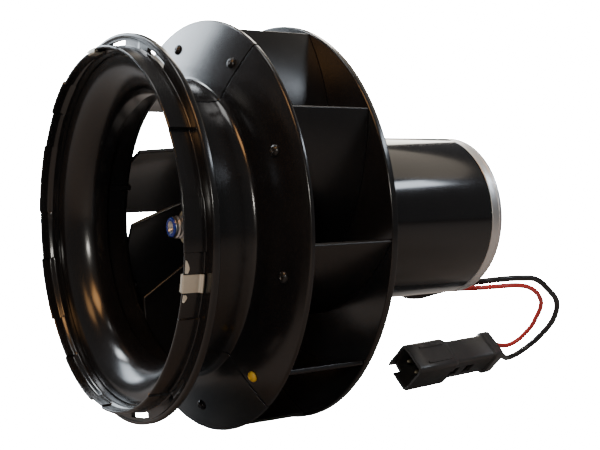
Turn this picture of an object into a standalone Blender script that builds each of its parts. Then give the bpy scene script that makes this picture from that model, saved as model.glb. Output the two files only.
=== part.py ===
"""Motorised backward-curved blower wheel with its inlet ring, as separate sub-parts.

The wheel's axis is Y. The air enters at -Y, the motor is at +Y, and Z is up. The origin is the middle
of the motor's rear mounting face. Sizes are in millimetres and turned into metres by MM.
"""
import math

import bmesh
import bpy
from mathutils import Matrix, Vector
from mathutils.geometry import interpolate_bezier

MM = 0.001
GAP = 0.3                   # play between touching pieces

# Wheel
WHEEL_R = 100.0             # outer radius of shroud and back plate
WHEEL_W = 44.6              # back plate's rear face to the shroud's outer edge
SHEET = 2.0                 # thickness of shroud and back plate
PLATE_LIP = 1.2             # turned-back rim of the back plate
BLADE_COUNT = 10
BLADE_T = 2.2
BLADE_TIP_R = WHEEL_R - 1.8
BLADE_SWEEP = 1.43          # radians of lag for each e-fold of radius
FIRST_BLADE = 71.0          # angle of the first blade's tip, degrees
NECK_R = 70.0               # outer radius of the shroud's neck
NECK_LENGTH = 18.0
NECK_FILLET = 5.0           # outside fillet between dish and neck
DISH_RISE = 8.4             # outer edge to the start of the fillet, along the axis
BLADE_EYE_R = NECK_R - 4.0  # leading edge at the shroud
BLADE_HUB_R = 44.0          # leading edge at the back plate
SEAMS = (57.5, 165.5, 309.5)    # where the shroud's segments meet, degrees
RIVET_R = WHEEL_R - 12.8    # radius at which the rivets sit
RIVET_SHANK = 1.4
RIVET_HEAD_R = 3.1
RIVET_HEAD = 1.9            # height of the head
RIVET_DEPTH = 4.5           # how far a rivet's shank goes into its boss
BOSS_R = 3.4
BOSS_DEPTH = 7.0

# Shaft, hub and fasteners
SHAFT_R = 5.7
SHAFT_PROUD = 8.5           # threaded end in front of the nut
HUB_LENGTH = 42.0           # in front of the back plate
HUB_R = SHAFT_R + 5.3
HUB_FLANGE_R = SHAFT_R + 23.3
HUB_SPIGOT_R = SHAFT_R + 3.3    # neck of the hub that passes through the back plate
WASHER_R = SHAFT_R + 5.0
WASHER_T = 1.4
NUT_R = SHAFT_R + 4.1       # across the corners
NUT_H = 6.0

# Motor
PLATE_GAP = 7.5             # motor's front face to the back plate
CAN_R = 44.0
CAN_LENGTH = 102.4
CAN_WALL = 2.5
CAN_FACE = 3.0              # thickness of the can's front face
BAND_LENGTH = 7.6           # bare end bell behind the can
BELL_FACE = 4.0
BEARING_R = SHAFT_R + 7.3
BEARING_W = 8.0
BEARING_WALL = 2.5          # wall of the pocket round a bearing
MAGNET_T = 6.5
MAGNET_LENGTH = 58.0
MAGNET_HALF = 35.0          # half of a magnet's arc, degrees
AIR_GAP = 1.3               # magnets to the core
CORE_LENGTH = 44.0
CORE_AFT = 49.0             # can's front face to the middle of the core
CORE_TEETH = 12
COMMUTATOR_R = SHAFT_R + 7.3
COMMUTATOR_LENGTH = 13.0
COMMUTATOR_AFT = 11.5       # core's rear face to the commutator
BRUSH_W = 6.0               # along the motor
BRUSH_H = 8.0               # across
BRUSH_LENGTH = 14.0
BRUSH_PLATE_T = 2.5
HOLDER_WALL = 1.4
SPRING_R = 2.2
SPRING_WIRE_R = 0.35
SPRING_TURNS = 4
BOLT_R = 2.5
BOLT_HEAD_R = 4.2
BOLT_SINK_R = 4.6           # counterbore in the end bell
BOLT_SINK = 2.6
BOLT_ANGLES = (45.0, 225.0)

# Inlet ring
RING_R = 91.5               # outer edge of the flange
RING_T = 2.2
RING_LIP = 0.8              # how far the flange's edge is turned back
RING_WALL_R = 84.4
RING_WALL = 9.6             # wall's height over the flange
RING_STAND = 41.1           # shroud's outer edge to the flange's front face
THROAT_R = NECK_R - 3.6     # outside of the throat
THROAT_LAP = 7.0            # how far the throat reaches into the neck
BELL_RISE = 15.0            # depth of the bell mouth's curve
SLOT_ANGLES = (63.0, 91.0, 119.0, 226.0, 254.0, 282.0, 310.0)
SLOT_HALF = 6.0             # half of a window's arc, degrees
CLIP_ANGLES = (-10.0, 97.0)
CLIP_W = 9.5
CLIP_T = 0.6
CLIP_TUCK = 3.5             # inner leg behind the wall
CLIP_FOOT = 3.4             # foot on the flange

# Wiring
GROMMET_ANGLE = 245.0
GROMMET_LENGTH = 10.6       # along the motor
GROMMET_W = 5.4             # around the motor
GROMMET_OUT = 3.0
GROMMET_FLANGE = 1.6
GROMMET_AFT = 7.5           # can's rear edge to the middle of the grommet
WIRE_SPREAD = 2.5           # each wire's shift from the grommet's middle
BLACK_R = 1.8
RED_R = 1.5
CONNECTOR_PLACE = Vector((-7.5, 3.0, -86.6))
CONNECTOR_YAW = 8.0         # degrees
CONNECTOR_ROLL = 43.0
CONNECTOR_W = 20.5          # side of the connector's square section
CONNECTOR_CORNER = 3.2
CONNECTOR_FRONT = -33.0     # front end, from the connector's middle
CONNECTOR_REAR = 42.0
SOCKET_WALL = 1.7
SOCKET_DEPTH = 20.0
SOCKET_CORNER = 2.2
PIN_ASIDE = (-4.0, 4.0)
PIN_R = 1.4
PIN_INSET = 6.0             # socket's mouth to the pin's tip
PIN_REAR = 21.7             # where a pin ends and its wire begins
SEAL_W = 14.0
SEAL_CORNER = 2.0
SEAL_DEPTH = 5.7
SEAL_PROUD = 0.6

# Places along the axis
CAN_FRONT = -BAND_LENGTH - CAN_LENGTH
PLATE_REAR = CAN_FRONT - PLATE_GAP
PLATE_FRONT = PLATE_REAR - SHEET
SHROUD_RIM = PLATE_REAR - WHEEL_W
NECK_END = SHROUD_RIM - DISH_RISE - 1.5 - NECK_LENGTH
FLANGE_FRONT = SHROUD_RIM - RING_STAND
WALL_FRONT = FLANGE_FRONT - RING_WALL
HUB_END = PLATE_FRONT - HUB_LENGTH
CORE_FRONT = CAN_FRONT + CORE_AFT - CORE_LENGTH / 2
CORE_REAR = CORE_FRONT + CORE_LENGTH
BRUSH_Y = CORE_REAR + COMMUTATOR_AFT + COMMUTATOR_LENGTH / 2
GROMMET_Y = -BAND_LENGTH - GROMMET_AFT

# Radii that follow from their neighbours
SHROUD_FOOT = NECK_R + NECK_FILLET
CAN_INSIDE = CAN_R - CAN_WALL
MAGNET_R = CAN_INSIDE - GAP
CORE_R = MAGNET_R - MAGNET_T - AIR_GAP
BOLT_CIRCLE = CAN_R - 7.5
HOLDER_END = CAN_R - 5.5
RING_WALL_IN = RING_WALL_R - RING_T
WIRE_START = CAN_R + GAP + GROMMET_OUT + GAP

BLADE_STEP = 360.0 / BLADE_COUNT

BLACK = (0.012, 0.012, 0.014)
STEEL = (0.55, 0.55, 0.56)
ZINC = (0.75, 0.72, 0.62)
COPPER = (0.72, 0.33, 0.16)
FERRITE = (0.08, 0.08, 0.09)
CARBON = (0.05, 0.05, 0.055)
PHENOLIC = (0.25, 0.12, 0.05)
RUBBER = (0.02, 0.02, 0.02)
PLASTIC = (0.02, 0.02, 0.022)
BRASS = (0.83, 0.65, 0.35)
RED = (0.6, 0.02, 0.02)

for old in list(bpy.data.objects):
    bpy.data.objects.remove(old)


# ---------------------------------------------------------------- helpers

def material(name, colour, roughness, metallic=0.0):
    made = bpy.data.materials.new(name)
    made.use_nodes = True
    surface = made.node_tree.nodes["Principled BSDF"]
    surface.inputs["Base Color"].default_value = (*colour, 1.0)
    surface.inputs["Roughness"].default_value = roughness
    surface.inputs["Metallic"].default_value = metallic
    made.diffuse_color = (*colour, 1.0)
    return made


def finish(name, work, look, parent=None):
    """Turn a bmesh in millimetres into the named object."""
    bmesh.ops.remove_doubles(work, verts=work.verts, dist=1e-4)
    bmesh.ops.dissolve_degenerate(work, edges=work.edges, dist=1e-5)
    bmesh.ops.recalc_face_normals(work, faces=work.faces)
    bmesh.ops.scale(work, vec=(MM, MM, MM), verts=work.verts)
    mesh = bpy.data.meshes.new(name)
    work.to_mesh(mesh)
    work.free()
    made = bpy.data.objects.new(name, mesh)
    bpy.context.scene.collection.objects.link(made)
    if look:
        mesh.materials.append(material(name, *look))
    if parent:
        made.parent = parent
    return made


def polar(radius, degrees, y):
    angle = math.radians(degrees)
    return Vector((radius * math.cos(angle), y, radius * math.sin(angle)))


def revolved(profile, start=0.0, end=360.0, steps=48):
    """A closed (radius, y) outline swept about the Y axis."""
    work = bmesh.new()
    whole = end - start >= 360.0
    count = steps if whole else steps + 1
    rings = []
    for i in range(count):
        angle = start + (end - start) * i / steps
        rings.append([work.verts.new(polar(r, angle, y)) for r, y in profile])
    for i in range(steps):
        here, there = rings[i], rings[(i + 1) % count]
        for j in range(len(profile)):
            k = (j + 1) % len(profile)
            work.faces.new((here[j], here[k], there[k], there[j]))
    if not whole:
        work.faces.new(rings[0])
        work.faces.new(rings[-1])
    return work


def extruded(outline, y0, y1):
    """A closed (x, z) outline pushed along Y."""
    work = bmesh.new()
    low = [work.verts.new((x, y0, z)) for x, z in outline]
    high = [work.verts.new((x, y1, z)) for x, z in outline]
    work.faces.new(low)
    work.faces.new(high)
    for j in range(len(outline)):
        k = (j + 1) % len(outline)
        work.faces.new((low[j], low[k], high[k], high[j]))
    return work


def brick(x0, x1, y0, y1, z0, z1):
    return extruded([(x0, z0), (x1, z0), (x1, z1), (x0, z1)], y0, y1)


def rounded_square(side, corner, steps=3):
    """The (x, z) outline of a square with round corners."""
    points = []
    reach = side / 2 - corner
    for quarter, (sx, sz) in enumerate(((1, 1), (-1, 1), (-1, -1), (1, -1))):
        for i in range(steps + 1):
            angle = math.radians(90 * quarter + 90 * i / steps)
            points.append((sx * reach + corner * math.cos(angle), sz * reach + corner * math.sin(angle)))
    return points


def lofted(sections):
    """Closed skin over ((x, z) outline, y) sections with equal numbers of points."""
    work = bmesh.new()
    rings = [[work.verts.new((x, y, z)) for x, z in outline] for outline, y in sections]
    for a, b in zip(rings, rings[1:]):
        for j in range(len(a)):
            k = (j + 1) % len(a)
            work.faces.new((a[j], a[k], b[k], b[j]))
    work.faces.new(rings[0])
    work.faces.new(rings[-1])
    return work


def placed(work, matrix):
    bmesh.ops.transform(work, matrix=matrix, verts=work.verts)
    return work


def combine(target, work, operation):
    """Cut the bmesh out of the target, or join it on, and keep the result as the target's mesh."""
    tool = finish("tool", work, None)
    step = target.modifiers.new("step", "BOOLEAN")
    step.operation = operation
    step.object = tool
    bpy.context.view_layer.update()
    seen = target.evaluated_get(bpy.context.evaluated_depsgraph_get())
    made = bpy.data.meshes.new_from_object(seen)
    target.modifiers.clear()
    old = target.data
    target.data = made
    made.name = target.name
    bpy.data.meshes.remove(old)
    bpy.data.objects.remove(tool)


def smooth_route(points, steps):
    """Points along a smooth curve through hand-placed points, with this many to each stretch."""
    knots = [Vector(point) for point in points]
    ways = []
    for before, here, after in zip([None] + knots[:-1], knots, knots[1:] + [None]):
        back = (here - before).normalized() if before else (after - here).normalized()
        ahead = (after - here).normalized() if after else back
        ways.append((back + ahead).normalized())
    route = [knots[0]]
    for a, b, way_a, way_b in zip(knots, knots[1:], ways, ways[1:]):
        pull = (b - a).length * 0.39
        stretch = interpolate_bezier(a, a + way_a * pull, b - way_b * pull, b, steps + 1)
        route += stretch[1:]
    return route


def wire(name, points, radius, look, sides=1):
    """A round wire through the points."""
    curve = bpy.data.curves.new(name, "CURVE")
    curve.dimensions = "3D"
    curve.bevel_depth = radius * MM
    curve.bevel_resolution = sides
    curve.use_fill_caps = True
    line = curve.splines.new("POLY")
    line.points.add(len(points) - 1)
    for knot, place in zip(line.points, points):
        knot.co = (*(Vector(place) * MM), 1.0)
    curve.materials.append(material(name, *look))
    made = bpy.data.objects.new(name, curve)
    bpy.context.scene.collection.objects.link(made)
    return made


def axis_empty(name):
    made = bpy.data.objects.new(name, None)
    bpy.context.scene.collection.objects.link(made)
    return made


# ---------------------------------------------------------------- wheel

def shroud_y(radius):
    """The shroud's outer surface: a shallow dish that flattens toward the neck."""
    t = (WHEEL_R - radius) / (WHEEL_R - SHROUD_FOOT)
    return SHROUD_RIM - DISH_RISE * t * (1.3 - 0.3 * t)


def shroud_profile():
    """Closed outline of the shroud: outside from the edge to the neck, then back along the inside."""
    span = WHEEL_R - SHROUD_FOOT
    dish = [(WHEEL_R - span * t, shroud_y(WHEEL_R - span * t)) for t in (0, 0.24, 0.48, 0.72, 1)]
    corner = shroud_y(SHROUD_FOOT)
    neck = [(NECK_R + 1.4, corner - 1.4), (NECK_R, corner - NECK_FILLET), (NECK_R, NECK_END)]
    inside = [
        (NECK_R - SHEET, NECK_END),
        (NECK_R - SHEET, corner - NECK_FILLET),
        (NECK_R - SHEET + 1.8, corner - 0.4),
        (SHROUD_FOOT - 0.6, corner + SHEET),
    ]
    back = [(r, y + SHEET) for r, y in reversed(dish[:-1])]
    return dish + neck + inside + back


def shroud_inside(radius):
    """The shroud's inner surface, held level inside the foot of the neck."""
    return shroud_y(max(radius, SHROUD_FOOT)) + SHEET


def blade_angle(radius, tip):
    return tip - math.degrees(BLADE_SWEEP * math.log(BLADE_TIP_R / radius))


def blade_point(radius, tip, side):
    """A point half a thickness to one side of the blade's middle line, seen along the axis."""
    here = polar(radius, blade_angle(radius, tip), 0)
    ahead = polar(radius + 0.1, blade_angle(radius + 0.1, tip), 0) - here
    across = Vector((ahead.z, 0, -ahead.x)).normalized()
    return here + across * (side * BLADE_T / 2)


def blade(index, wheel):
    tip = FIRST_BLADE + index * BLADE_STEP
    steps = 7
    work = bmesh.new()
    rings = []
    for i in range(steps + 1):
        t = i / steps
        front_r = BLADE_EYE_R + (BLADE_TIP_R - BLADE_EYE_R) * t
        back_r = BLADE_HUB_R + (BLADE_TIP_R - BLADE_HUB_R) * t
        ring = []
        corners = ((front_r, 1, True), (front_r, -1, True), (back_r, -1, False), (back_r, 1, False))
        for radius, side, front in corners:
            place = blade_point(radius, tip, side)
            reach = math.hypot(place.x, place.z)
            place.y = shroud_inside(reach) + GAP if front else PLATE_FRONT - GAP
            ring.append(work.verts.new(place))
        rings.append(ring)
    for a, b in zip(rings, rings[1:]):
        for j in range(4):
            k = (j + 1) % 4
            work.faces.new((a[j], a[k], b[k], b[j]))
    work.faces.new(rings[0])
    work.faces.new(rings[-1])
    made = finish(f"blade_{index + 1:02d}", work, (BLACK, 0.35), wheel)
    combine(made, blade_boss(tip), "UNION")
    combine(made, rivet_bore(tip), "DIFFERENCE")
    return made


def rivet_angle(tip):
    return blade_angle(RIVET_R, tip)


def blade_boss(tip):
    """Round boss on the blade's edge, under the shroud, that the rivet is driven into."""
    top = -(SHEET + GAP)
    outline = [(0, top), (BOSS_R, top), (BOSS_R * 0.8, top - BOSS_DEPTH), (0, top - BOSS_DEPTH)]
    return placed(revolved(outline, steps=12), rivet_frame(tip))


def rivet_frame(tip):
    """Where a rivet sits: its Y axis is the shroud's outward normal, its origin is on the outer surface."""
    slope = math.atan2(shroud_y(RIVET_R - 1) - shroud_y(RIVET_R + 1), 2.0)
    angle = math.radians(rivet_angle(tip))
    outward = Vector((math.cos(angle), 0, math.sin(angle)))
    normal = Vector((0, -math.cos(slope), 0)) - outward * math.sin(slope)
    normal = normal if normal.y < 0 else -normal
    sideways = Vector((-math.sin(angle), 0, math.cos(angle)))
    third = sideways.cross(normal)
    turn = Matrix((sideways, normal, third)).transposed().to_4x4()
    return Matrix.Translation(polar(RIVET_R, math.degrees(angle), shroud_y(RIVET_R))) @ turn


def rivet_bore(tip):
    """The hole through the shroud and into the boss."""
    deep = -(SHEET + GAP + RIVET_DEPTH + GAP)
    outline = [(0, deep), (RIVET_SHANK + GAP, deep), (RIVET_SHANK + GAP, 4), (0, 4)]
    return placed(revolved(outline, steps=12), rivet_frame(tip))


def rivet(index, wheel):
    tip = FIRST_BLADE + index * BLADE_STEP
    deep = -(SHEET + GAP + RIVET_DEPTH)
    outline = [
        (0, RIVET_HEAD), (RIVET_HEAD_R * 0.5, RIVET_HEAD - 0.2), (RIVET_HEAD_R * 0.9, RIVET_HEAD - 0.8),
        (RIVET_HEAD_R, GAP), (RIVET_SHANK, GAP),
        (RIVET_SHANK, deep + 0.8), (0.6, deep), (0, deep),
    ]
    work = placed(revolved(outline, steps=12), rivet_frame(tip))
    return finish(f"rivet_{index + 1:02d}", work, (STEEL, 0.3, 0.9), wheel)


def shroud_segment(index, wheel):
    play = math.degrees(GAP / 2 / WHEEL_R)
    start = SEAMS[index] + play
    end = SEAMS[(index + 1) % 3] - play
    if end < start:
        end += 360
    steps = round((end - start) / 6.0)
    work = revolved(shroud_profile(), start, end, steps)
    made = finish(f"shroud_segment_{index + 1}", work, (BLACK, 0.2), wheel)
    for k in range(BLADE_COUNT):
        tip = FIRST_BLADE + k * BLADE_STEP
        if (rivet_angle(tip) - start) % 360 < end - start:
            combine(made, rivet_bore(tip), "DIFFERENCE")
    return made


def back_plate(wheel):
    bore = HUB_SPIGOT_R + GAP
    rim = WHEEL_R - 0.5
    inner = rim - 1.5
    outline = [
        (bore, PLATE_FRONT), (rim - 0.3, PLATE_FRONT), (rim, PLATE_FRONT + 0.6),
        (rim, PLATE_REAR + PLATE_LIP), (inner, PLATE_REAR + PLATE_LIP), (inner, PLATE_REAR),
        (bore, PLATE_REAR),
    ]
    return finish("back_plate", revolved(outline, steps=60), (BLACK, 0.3), wheel)


def hub(wheel):
    """A boss that spreads into a flange against the back plate."""
    bore = SHAFT_R + GAP
    face = PLATE_FRONT - GAP
    outline = [
        (bore, HUB_END), (HUB_R, HUB_END), (HUB_R + 1.0, HUB_END + 1.0), (HUB_R + 2.5, face - 14),
        (HUB_R + 6.0, face - 7), (HUB_FLANGE_R - 3.0, face - 3), (HUB_FLANGE_R, face - 2.4),
        (HUB_FLANGE_R, face), (HUB_SPIGOT_R, face), (HUB_SPIGOT_R, PLATE_REAR), (bore, PLATE_REAR),
    ]
    return finish("hub", revolved(outline, steps=28), (BLACK, 0.4), wheel)


def wheel_shaft(wheel):
    rear = -BELL_FACE - 1.5
    tip = HUB_END - 2 * GAP - WASHER_T - NUT_H - SHAFT_PROUD
    outline = [
        (0, tip), (SHAFT_R - 1.2, tip), (SHAFT_R - 0.2, tip + 1.2), (SHAFT_R, tip + 1.4),
        (SHAFT_R, rear - 0.6), (SHAFT_R - 0.6, rear), (0, rear),
    ]
    return finish("motor_shaft", revolved(outline, steps=24), (STEEL, 0.25, 1.0), wheel)


def washer_and_nut(wheel):
    bore = SHAFT_R + GAP
    seat = HUB_END - GAP
    outline = [(bore, seat - WASHER_T), (WASHER_R, seat - WASHER_T), (WASHER_R, seat), (bore, seat)]
    finish("hub_washer", revolved(outline, steps=28), (ZINC, 0.35, 1.0), wheel)
    rear = seat - WASHER_T - GAP
    corners = [polar(NUT_R, 60 * i, 0) for i in range(6)]
    hexagon = [(corner.x, corner.z) for corner in corners]
    made = finish("hub_nut", extruded(hexagon, rear - NUT_H, rear), (ZINC, 0.3, 1.0), wheel)
    outline = [(0, rear - NUT_H - 1), (bore, rear - NUT_H - 1), (bore, rear + 1), (0, rear + 1)]
    combine(made, revolved(outline, steps=24), "DIFFERENCE")


# ---------------------------------------------------------------- motor

def armature(wheel):
    """Slotted core, a wound coil at each end of it, and the commutator."""
    bore = SHAFT_R + GAP
    slot_r = CORE_R - 9.0
    outline = []
    for i in range(CORE_TEETH):
        for radius, offset in ((CORE_R, -11.0), (CORE_R, 11.0), (slot_r, 12.5), (slot_r, 17.5)):
            angle = math.radians(i * 360.0 / CORE_TEETH + offset)
            outline.append((radius * math.cos(angle), radius * math.sin(angle)))
    core = finish("armature_core", extruded(outline, CORE_FRONT, CORE_REAR), (STEEL, 0.5, 0.8), wheel)
    cut = [(0, CORE_FRONT - 1), (bore, CORE_FRONT - 1), (bore, CORE_REAR + 1), (0, CORE_REAR + 1)]
    combine(core, revolved(cut, steps=24), "DIFFERENCE")
    coil = CORE_R - 4.0
    for name, base, way in (("winding_front", CORE_FRONT, -1), ("winding_rear", CORE_REAR, 1)):
        near = base + way * GAP
        rim = [(SHAFT_R + 4, near), (coil - 2.4, near), (coil, near + way * 3), (coil - 1.4, near + way * 8),
               (coil - 7.4, near + way * 10), (SHAFT_R + 7, near + way * 9), (SHAFT_R + 4, near + way * 5)]
        finish(name, revolved(rim, steps=32), (COPPER, 0.35, 0.9), wheel)
    near = CORE_REAR + COMMUTATOR_AFT
    far = near + COMMUTATOR_LENGTH
    drum = [(bore, near), (COMMUTATOR_R, near), (COMMUTATOR_R, far), (bore, far)]
    finish("commutator", revolved(drum, steps=32), (COPPER, 0.3, 1.0), wheel)


def bearing(name, y):
    bore, end = SHAFT_R + GAP, y + BEARING_W
    outline = [(bore, y), (BEARING_R, y), (BEARING_R, end), (bore, end)]
    return finish(name, revolved(outline, steps=32), (STEEL, 0.25, 1.0))


def motor_can():
    """Drawn can with a bearing pocket in its front, two bolt holes and the grommet's window."""
    pocket = BEARING_R + GAP
    wall = pocket + BEARING_WALL
    face = CAN_FRONT + CAN_FACE
    deep = face + BEARING_W + GAP
    rear = -BAND_LENGTH - GAP / 2
    outline = [
        (SHAFT_R + 1.5, CAN_FRONT), (CAN_R - 4.0, CAN_FRONT), (CAN_R - 1.2, CAN_FRONT + 1.0),
        (CAN_R, CAN_FRONT + 4.0), (CAN_R, rear), (CAN_INSIDE, rear), (CAN_INSIDE, CAN_FRONT + 4.5),
        (CAN_INSIDE - 2.0, face), (wall, face), (wall, deep), (pocket, deep), (pocket, face - GAP),
        (SHAFT_R + 1.5, face - GAP),
    ]
    made = finish("motor_can", revolved(outline, steps=48), (BLACK, 0.12))
    for angle in BOLT_ANGLES:
        combine(made, bolt_hole(angle, BOLT_R + GAP, CAN_FRONT - 2, CAN_FRONT + 6), "DIFFERENCE")
    half = GROMMET_LENGTH / 2 + GAP
    high = GROMMET_W / 2 + GAP
    window = brick(CAN_R - 8, CAN_R + 4, GROMMET_Y - half, GROMMET_Y + half, -high, high)
    combine(made, placed(window, grommet_turn()), "DIFFERENCE")
    return made


def bolt_hole(angle, radius, y0, y1):
    outline = [(0, y0), (radius, y0), (radius, y1), (0, y1)]
    return placed(revolved(outline, steps=16), Matrix.Translation(polar(BOLT_CIRCLE, angle, 0)))


def end_bell():
    pocket = BEARING_R + GAP
    wall = pocket + BEARING_WALL
    spigot = CAN_INSIDE - GAP
    lip = -BAND_LENGTH + GAP / 2
    depth = -BELL_FACE - GAP - BEARING_W
    outline = [
        (0, 0), (CAN_R - 0.8, 0), (CAN_R, -0.8), (CAN_R, lip), (spigot, lip), (spigot, lip + 0.1),
        (spigot - 3.0, lip + 0.1), (spigot - 3.0, -BELL_FACE), (wall, -BELL_FACE),
        (wall, depth), (pocket, depth), (pocket, -BELL_FACE + 1.0), (0, -BELL_FACE + 1.0),
    ]
    made = finish("end_bell", revolved(outline, steps=48), (STEEL, 0.3, 1.0))
    for angle in BOLT_ANGLES:
        combine(made, bolt_hole(angle, BOLT_R + GAP, -20, 2), "DIFFERENCE")
        combine(made, bolt_hole(angle, BOLT_SINK_R, -BOLT_SINK, 2), "DIFFERENCE")
    return made


def motor_bolt(index):
    head = -BOLT_SINK + GAP
    outline = [
        (0, head + 2.0), (BOLT_HEAD_R - 0.2, head + 2.0), (BOLT_HEAD_R, head), (BOLT_R, head),
        (BOLT_R, CAN_FRONT + 0.4), (0, CAN_FRONT + 0.4),
    ]
    work = placed(revolved(outline, steps=14), Matrix.Translation(polar(BOLT_CIRCLE, BOLT_ANGLES[index], 0)))
    return finish(f"motor_bolt_{index + 1}", work, (STEEL, 0.3, 1.0))


def magnet(index):
    y0 = CAN_FRONT + CORE_AFT - MAGNET_LENGTH / 2
    y1 = y0 + MAGNET_LENGTH
    inner = MAGNET_R - MAGNET_T
    outline = [(inner, y0), (MAGNET_R, y0), (MAGNET_R, y1), (inner, y1)]
    middle = 90.0 * index
    work = revolved(outline, middle - MAGNET_HALF, middle + MAGNET_HALF, 10)
    return finish(f"magnet_{index + 1}", work, (FERRITE, 0.6))


def brush_plate():
    """Insulating plate with a box on each side that guides a brush."""
    y0 = BRUSH_Y + BRUSH_W / 2 + HOLDER_WALL + 0.4
    y1 = y0 + BRUSH_PLATE_T
    inner = COMMUTATOR_R + 5
    outline = [(inner, y0), (HOLDER_END, y0), (HOLDER_END, y1), (inner, y1)]
    made = finish("brush_plate", revolved(outline, steps=40), (PHENOLIC, 0.6))
    half = BRUSH_W / 2 + GAP
    high = BRUSH_H / 2 + GAP
    for side in (1, -1):
        near, far = sorted((side * (COMMUTATOR_R + 2.5), side * HOLDER_END))
        thick = high + HOLDER_WALL
        box = brick(near, far, BRUSH_Y - half - HOLDER_WALL, y0 + 0.5, -thick, thick)
        combine(made, box, "UNION")
        near, far = sorted((side * COMMUTATOR_R, side * (HOLDER_END - HOLDER_WALL)))
        combine(made, brick(near, far, BRUSH_Y - half, BRUSH_Y + half, -high, high), "DIFFERENCE")
    for angle in BOLT_ANGLES:
        combine(made, bolt_hole(angle, BOLT_R + 1.0, y0 - 2, y0 + 5), "DIFFERENCE")
    return made


def brush(index):
    side = 1 if index == 0 else -1
    start = COMMUTATOR_R + GAP
    near, far = sorted((side * start, side * (start + BRUSH_LENGTH)))
    work = brick(near, far, BRUSH_Y - BRUSH_W / 2, BRUSH_Y + BRUSH_W / 2, -BRUSH_H / 2, BRUSH_H / 2)
    return finish(f"brush_{index + 1}", work, (CARBON, 0.7, 0.3))


def brush_spring(index):
    """A coil between a brush and the end of its box."""
    side = 1 if index == 0 else -1
    start = COMMUTATOR_R + 2 * GAP + BRUSH_LENGTH + SPRING_WIRE_R
    end = HOLDER_END - HOLDER_WALL - GAP - SPRING_WIRE_R
    count = SPRING_TURNS * 12
    points = []
    for i in range(count + 1):
        angle = math.radians(30 * i)
        along = start + (end - start) * i / count
        points.append((side * along, BRUSH_Y + SPRING_R * math.cos(angle), SPRING_R * math.sin(angle)))
    return wire(f"brush_spring_{index + 1}", points, SPRING_WIRE_R, (STEEL, 0.3, 1.0), sides=0)


# ---------------------------------------------------------------- inlet ring

def inlet_ring(ring):
    """Flange and upright wall, with windows through the flange."""
    back = FLANGE_FRONT + RING_T
    outline = [
        (RING_WALL_IN, back), (RING_WALL_IN, WALL_FRONT), (RING_WALL_R, WALL_FRONT),
        (RING_WALL_R, FLANGE_FRONT), (RING_R - RING_LIP, FLANGE_FRONT),
        (RING_R, FLANGE_FRONT + RING_LIP), (RING_R, back),
        (RING_R - 1.0, back + RING_LIP), (RING_R - 2.0, back),
    ]
    made = finish("inlet_ring", revolved(outline, steps=60), (BLACK, 0.15), ring)
    inner, outer = RING_WALL_R + 0.5, RING_WALL_R + 3.2
    slot = [(inner, FLANGE_FRONT - 1), (outer, FLANGE_FRONT - 1), (outer, back + 3), (inner, back + 3)]
    for angle in SLOT_ANGLES:
        combine(made, revolved(slot, angle - SLOT_HALF, angle + SLOT_HALF, 3), "DIFFERENCE")
    return made


def bell_mouth(ring):
    """The flared throat that stands inside the ring's wall and reaches into the wheel's neck."""
    edge = RING_WALL_IN - GAP
    inner = THROAT_R - RING_T
    reach = edge - 2.5 - inner
    start = FLANGE_FRONT - 2.5 + BELL_RISE
    depth = BELL_RISE - RING_T

    def flare(base, span, rise, degrees):
        angle = math.radians(degrees)
        return base + span * (1 - math.cos(angle)), start - rise * math.sin(angle)

    inside = [flare(inner, reach, BELL_RISE, degrees) for degrees in (0, 30, 60, 90)]
    outside = [flare(THROAT_R, reach + 0.4, depth, degrees) for degrees in (75, 45, 15, 0)]
    end = NECK_END + THROAT_LAP
    rim = [(edge, FLANGE_FRONT - 2.5), (edge, FLANGE_FRONT + RING_T)]
    outline = [(inner, end)] + inside + rim + outside + [(THROAT_R, end)]
    return finish("bell_mouth", revolved(outline, steps=60), (BLACK, 0.15), ring)


def ring_clip(index, ring):
    """A spring clip folded over the ring's wall, with a foot on the flange."""
    inner = RING_WALL_IN - GAP
    outer = RING_WALL_R + GAP
    bridge = WALL_FRONT - GAP
    foot = FLANGE_FRONT - GAP
    outline = [
        (inner - CLIP_T, bridge - CLIP_T), (outer + CLIP_T, bridge - CLIP_T),
        (outer + CLIP_T, foot - CLIP_T), (outer + CLIP_FOOT, foot - CLIP_T),
        (outer + CLIP_FOOT, foot), (outer, foot), (outer, bridge),
        (inner, bridge), (inner, bridge + CLIP_TUCK), (inner - CLIP_T, bridge + CLIP_TUCK),
    ]
    half = math.degrees(CLIP_W / 2 / RING_WALL_R)
    work = revolved(outline, CLIP_ANGLES[index] - half, CLIP_ANGLES[index] + half, 2)
    return finish(f"ring_clip_{index + 1}", work, (ZINC, 0.3, 1.0), ring)


# ---------------------------------------------------------------- wiring

def grommet_turn():
    return Matrix.Rotation(math.radians(-GROMMET_ANGLE), 4, "Y")


def grommet():
    """Rubber bush in the can's wall, with a flange outside, that both wires leave through."""
    wide = GROMMET_W / 2
    half = GROMMET_LENGTH / 2
    seat = CAN_R + GAP
    work = brick(CAN_INSIDE - 1.5, seat + GROMMET_OUT, GROMMET_Y - half, GROMMET_Y + half, -wide, wide)
    made = finish("wire_grommet", placed(work, grommet_turn()), (RUBBER, 0.7))
    wide += 1
    half += 1
    flange = brick(seat, seat + GROMMET_FLANGE, GROMMET_Y - half, GROMMET_Y + half, -wide, wide)
    combine(made, placed(flange, grommet_turn()), "UNION")
    return made


def connector_frame():
    """The connector's own axes: Y runs from its socket to its wires."""
    yaw = Matrix.Rotation(math.radians(CONNECTOR_YAW), 4, "Z")
    roll = Matrix.Rotation(math.radians(CONNECTOR_ROLL), 4, "Y")
    return Matrix.Translation(CONNECTOR_PLACE) @ yaw @ roll


def on_connector(made):
    """Put an object built about the connector's own axes where the connector lies."""
    place = connector_frame()
    place.translation = CONNECTOR_PLACE * MM
    made.matrix_world = place
    return made


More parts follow.
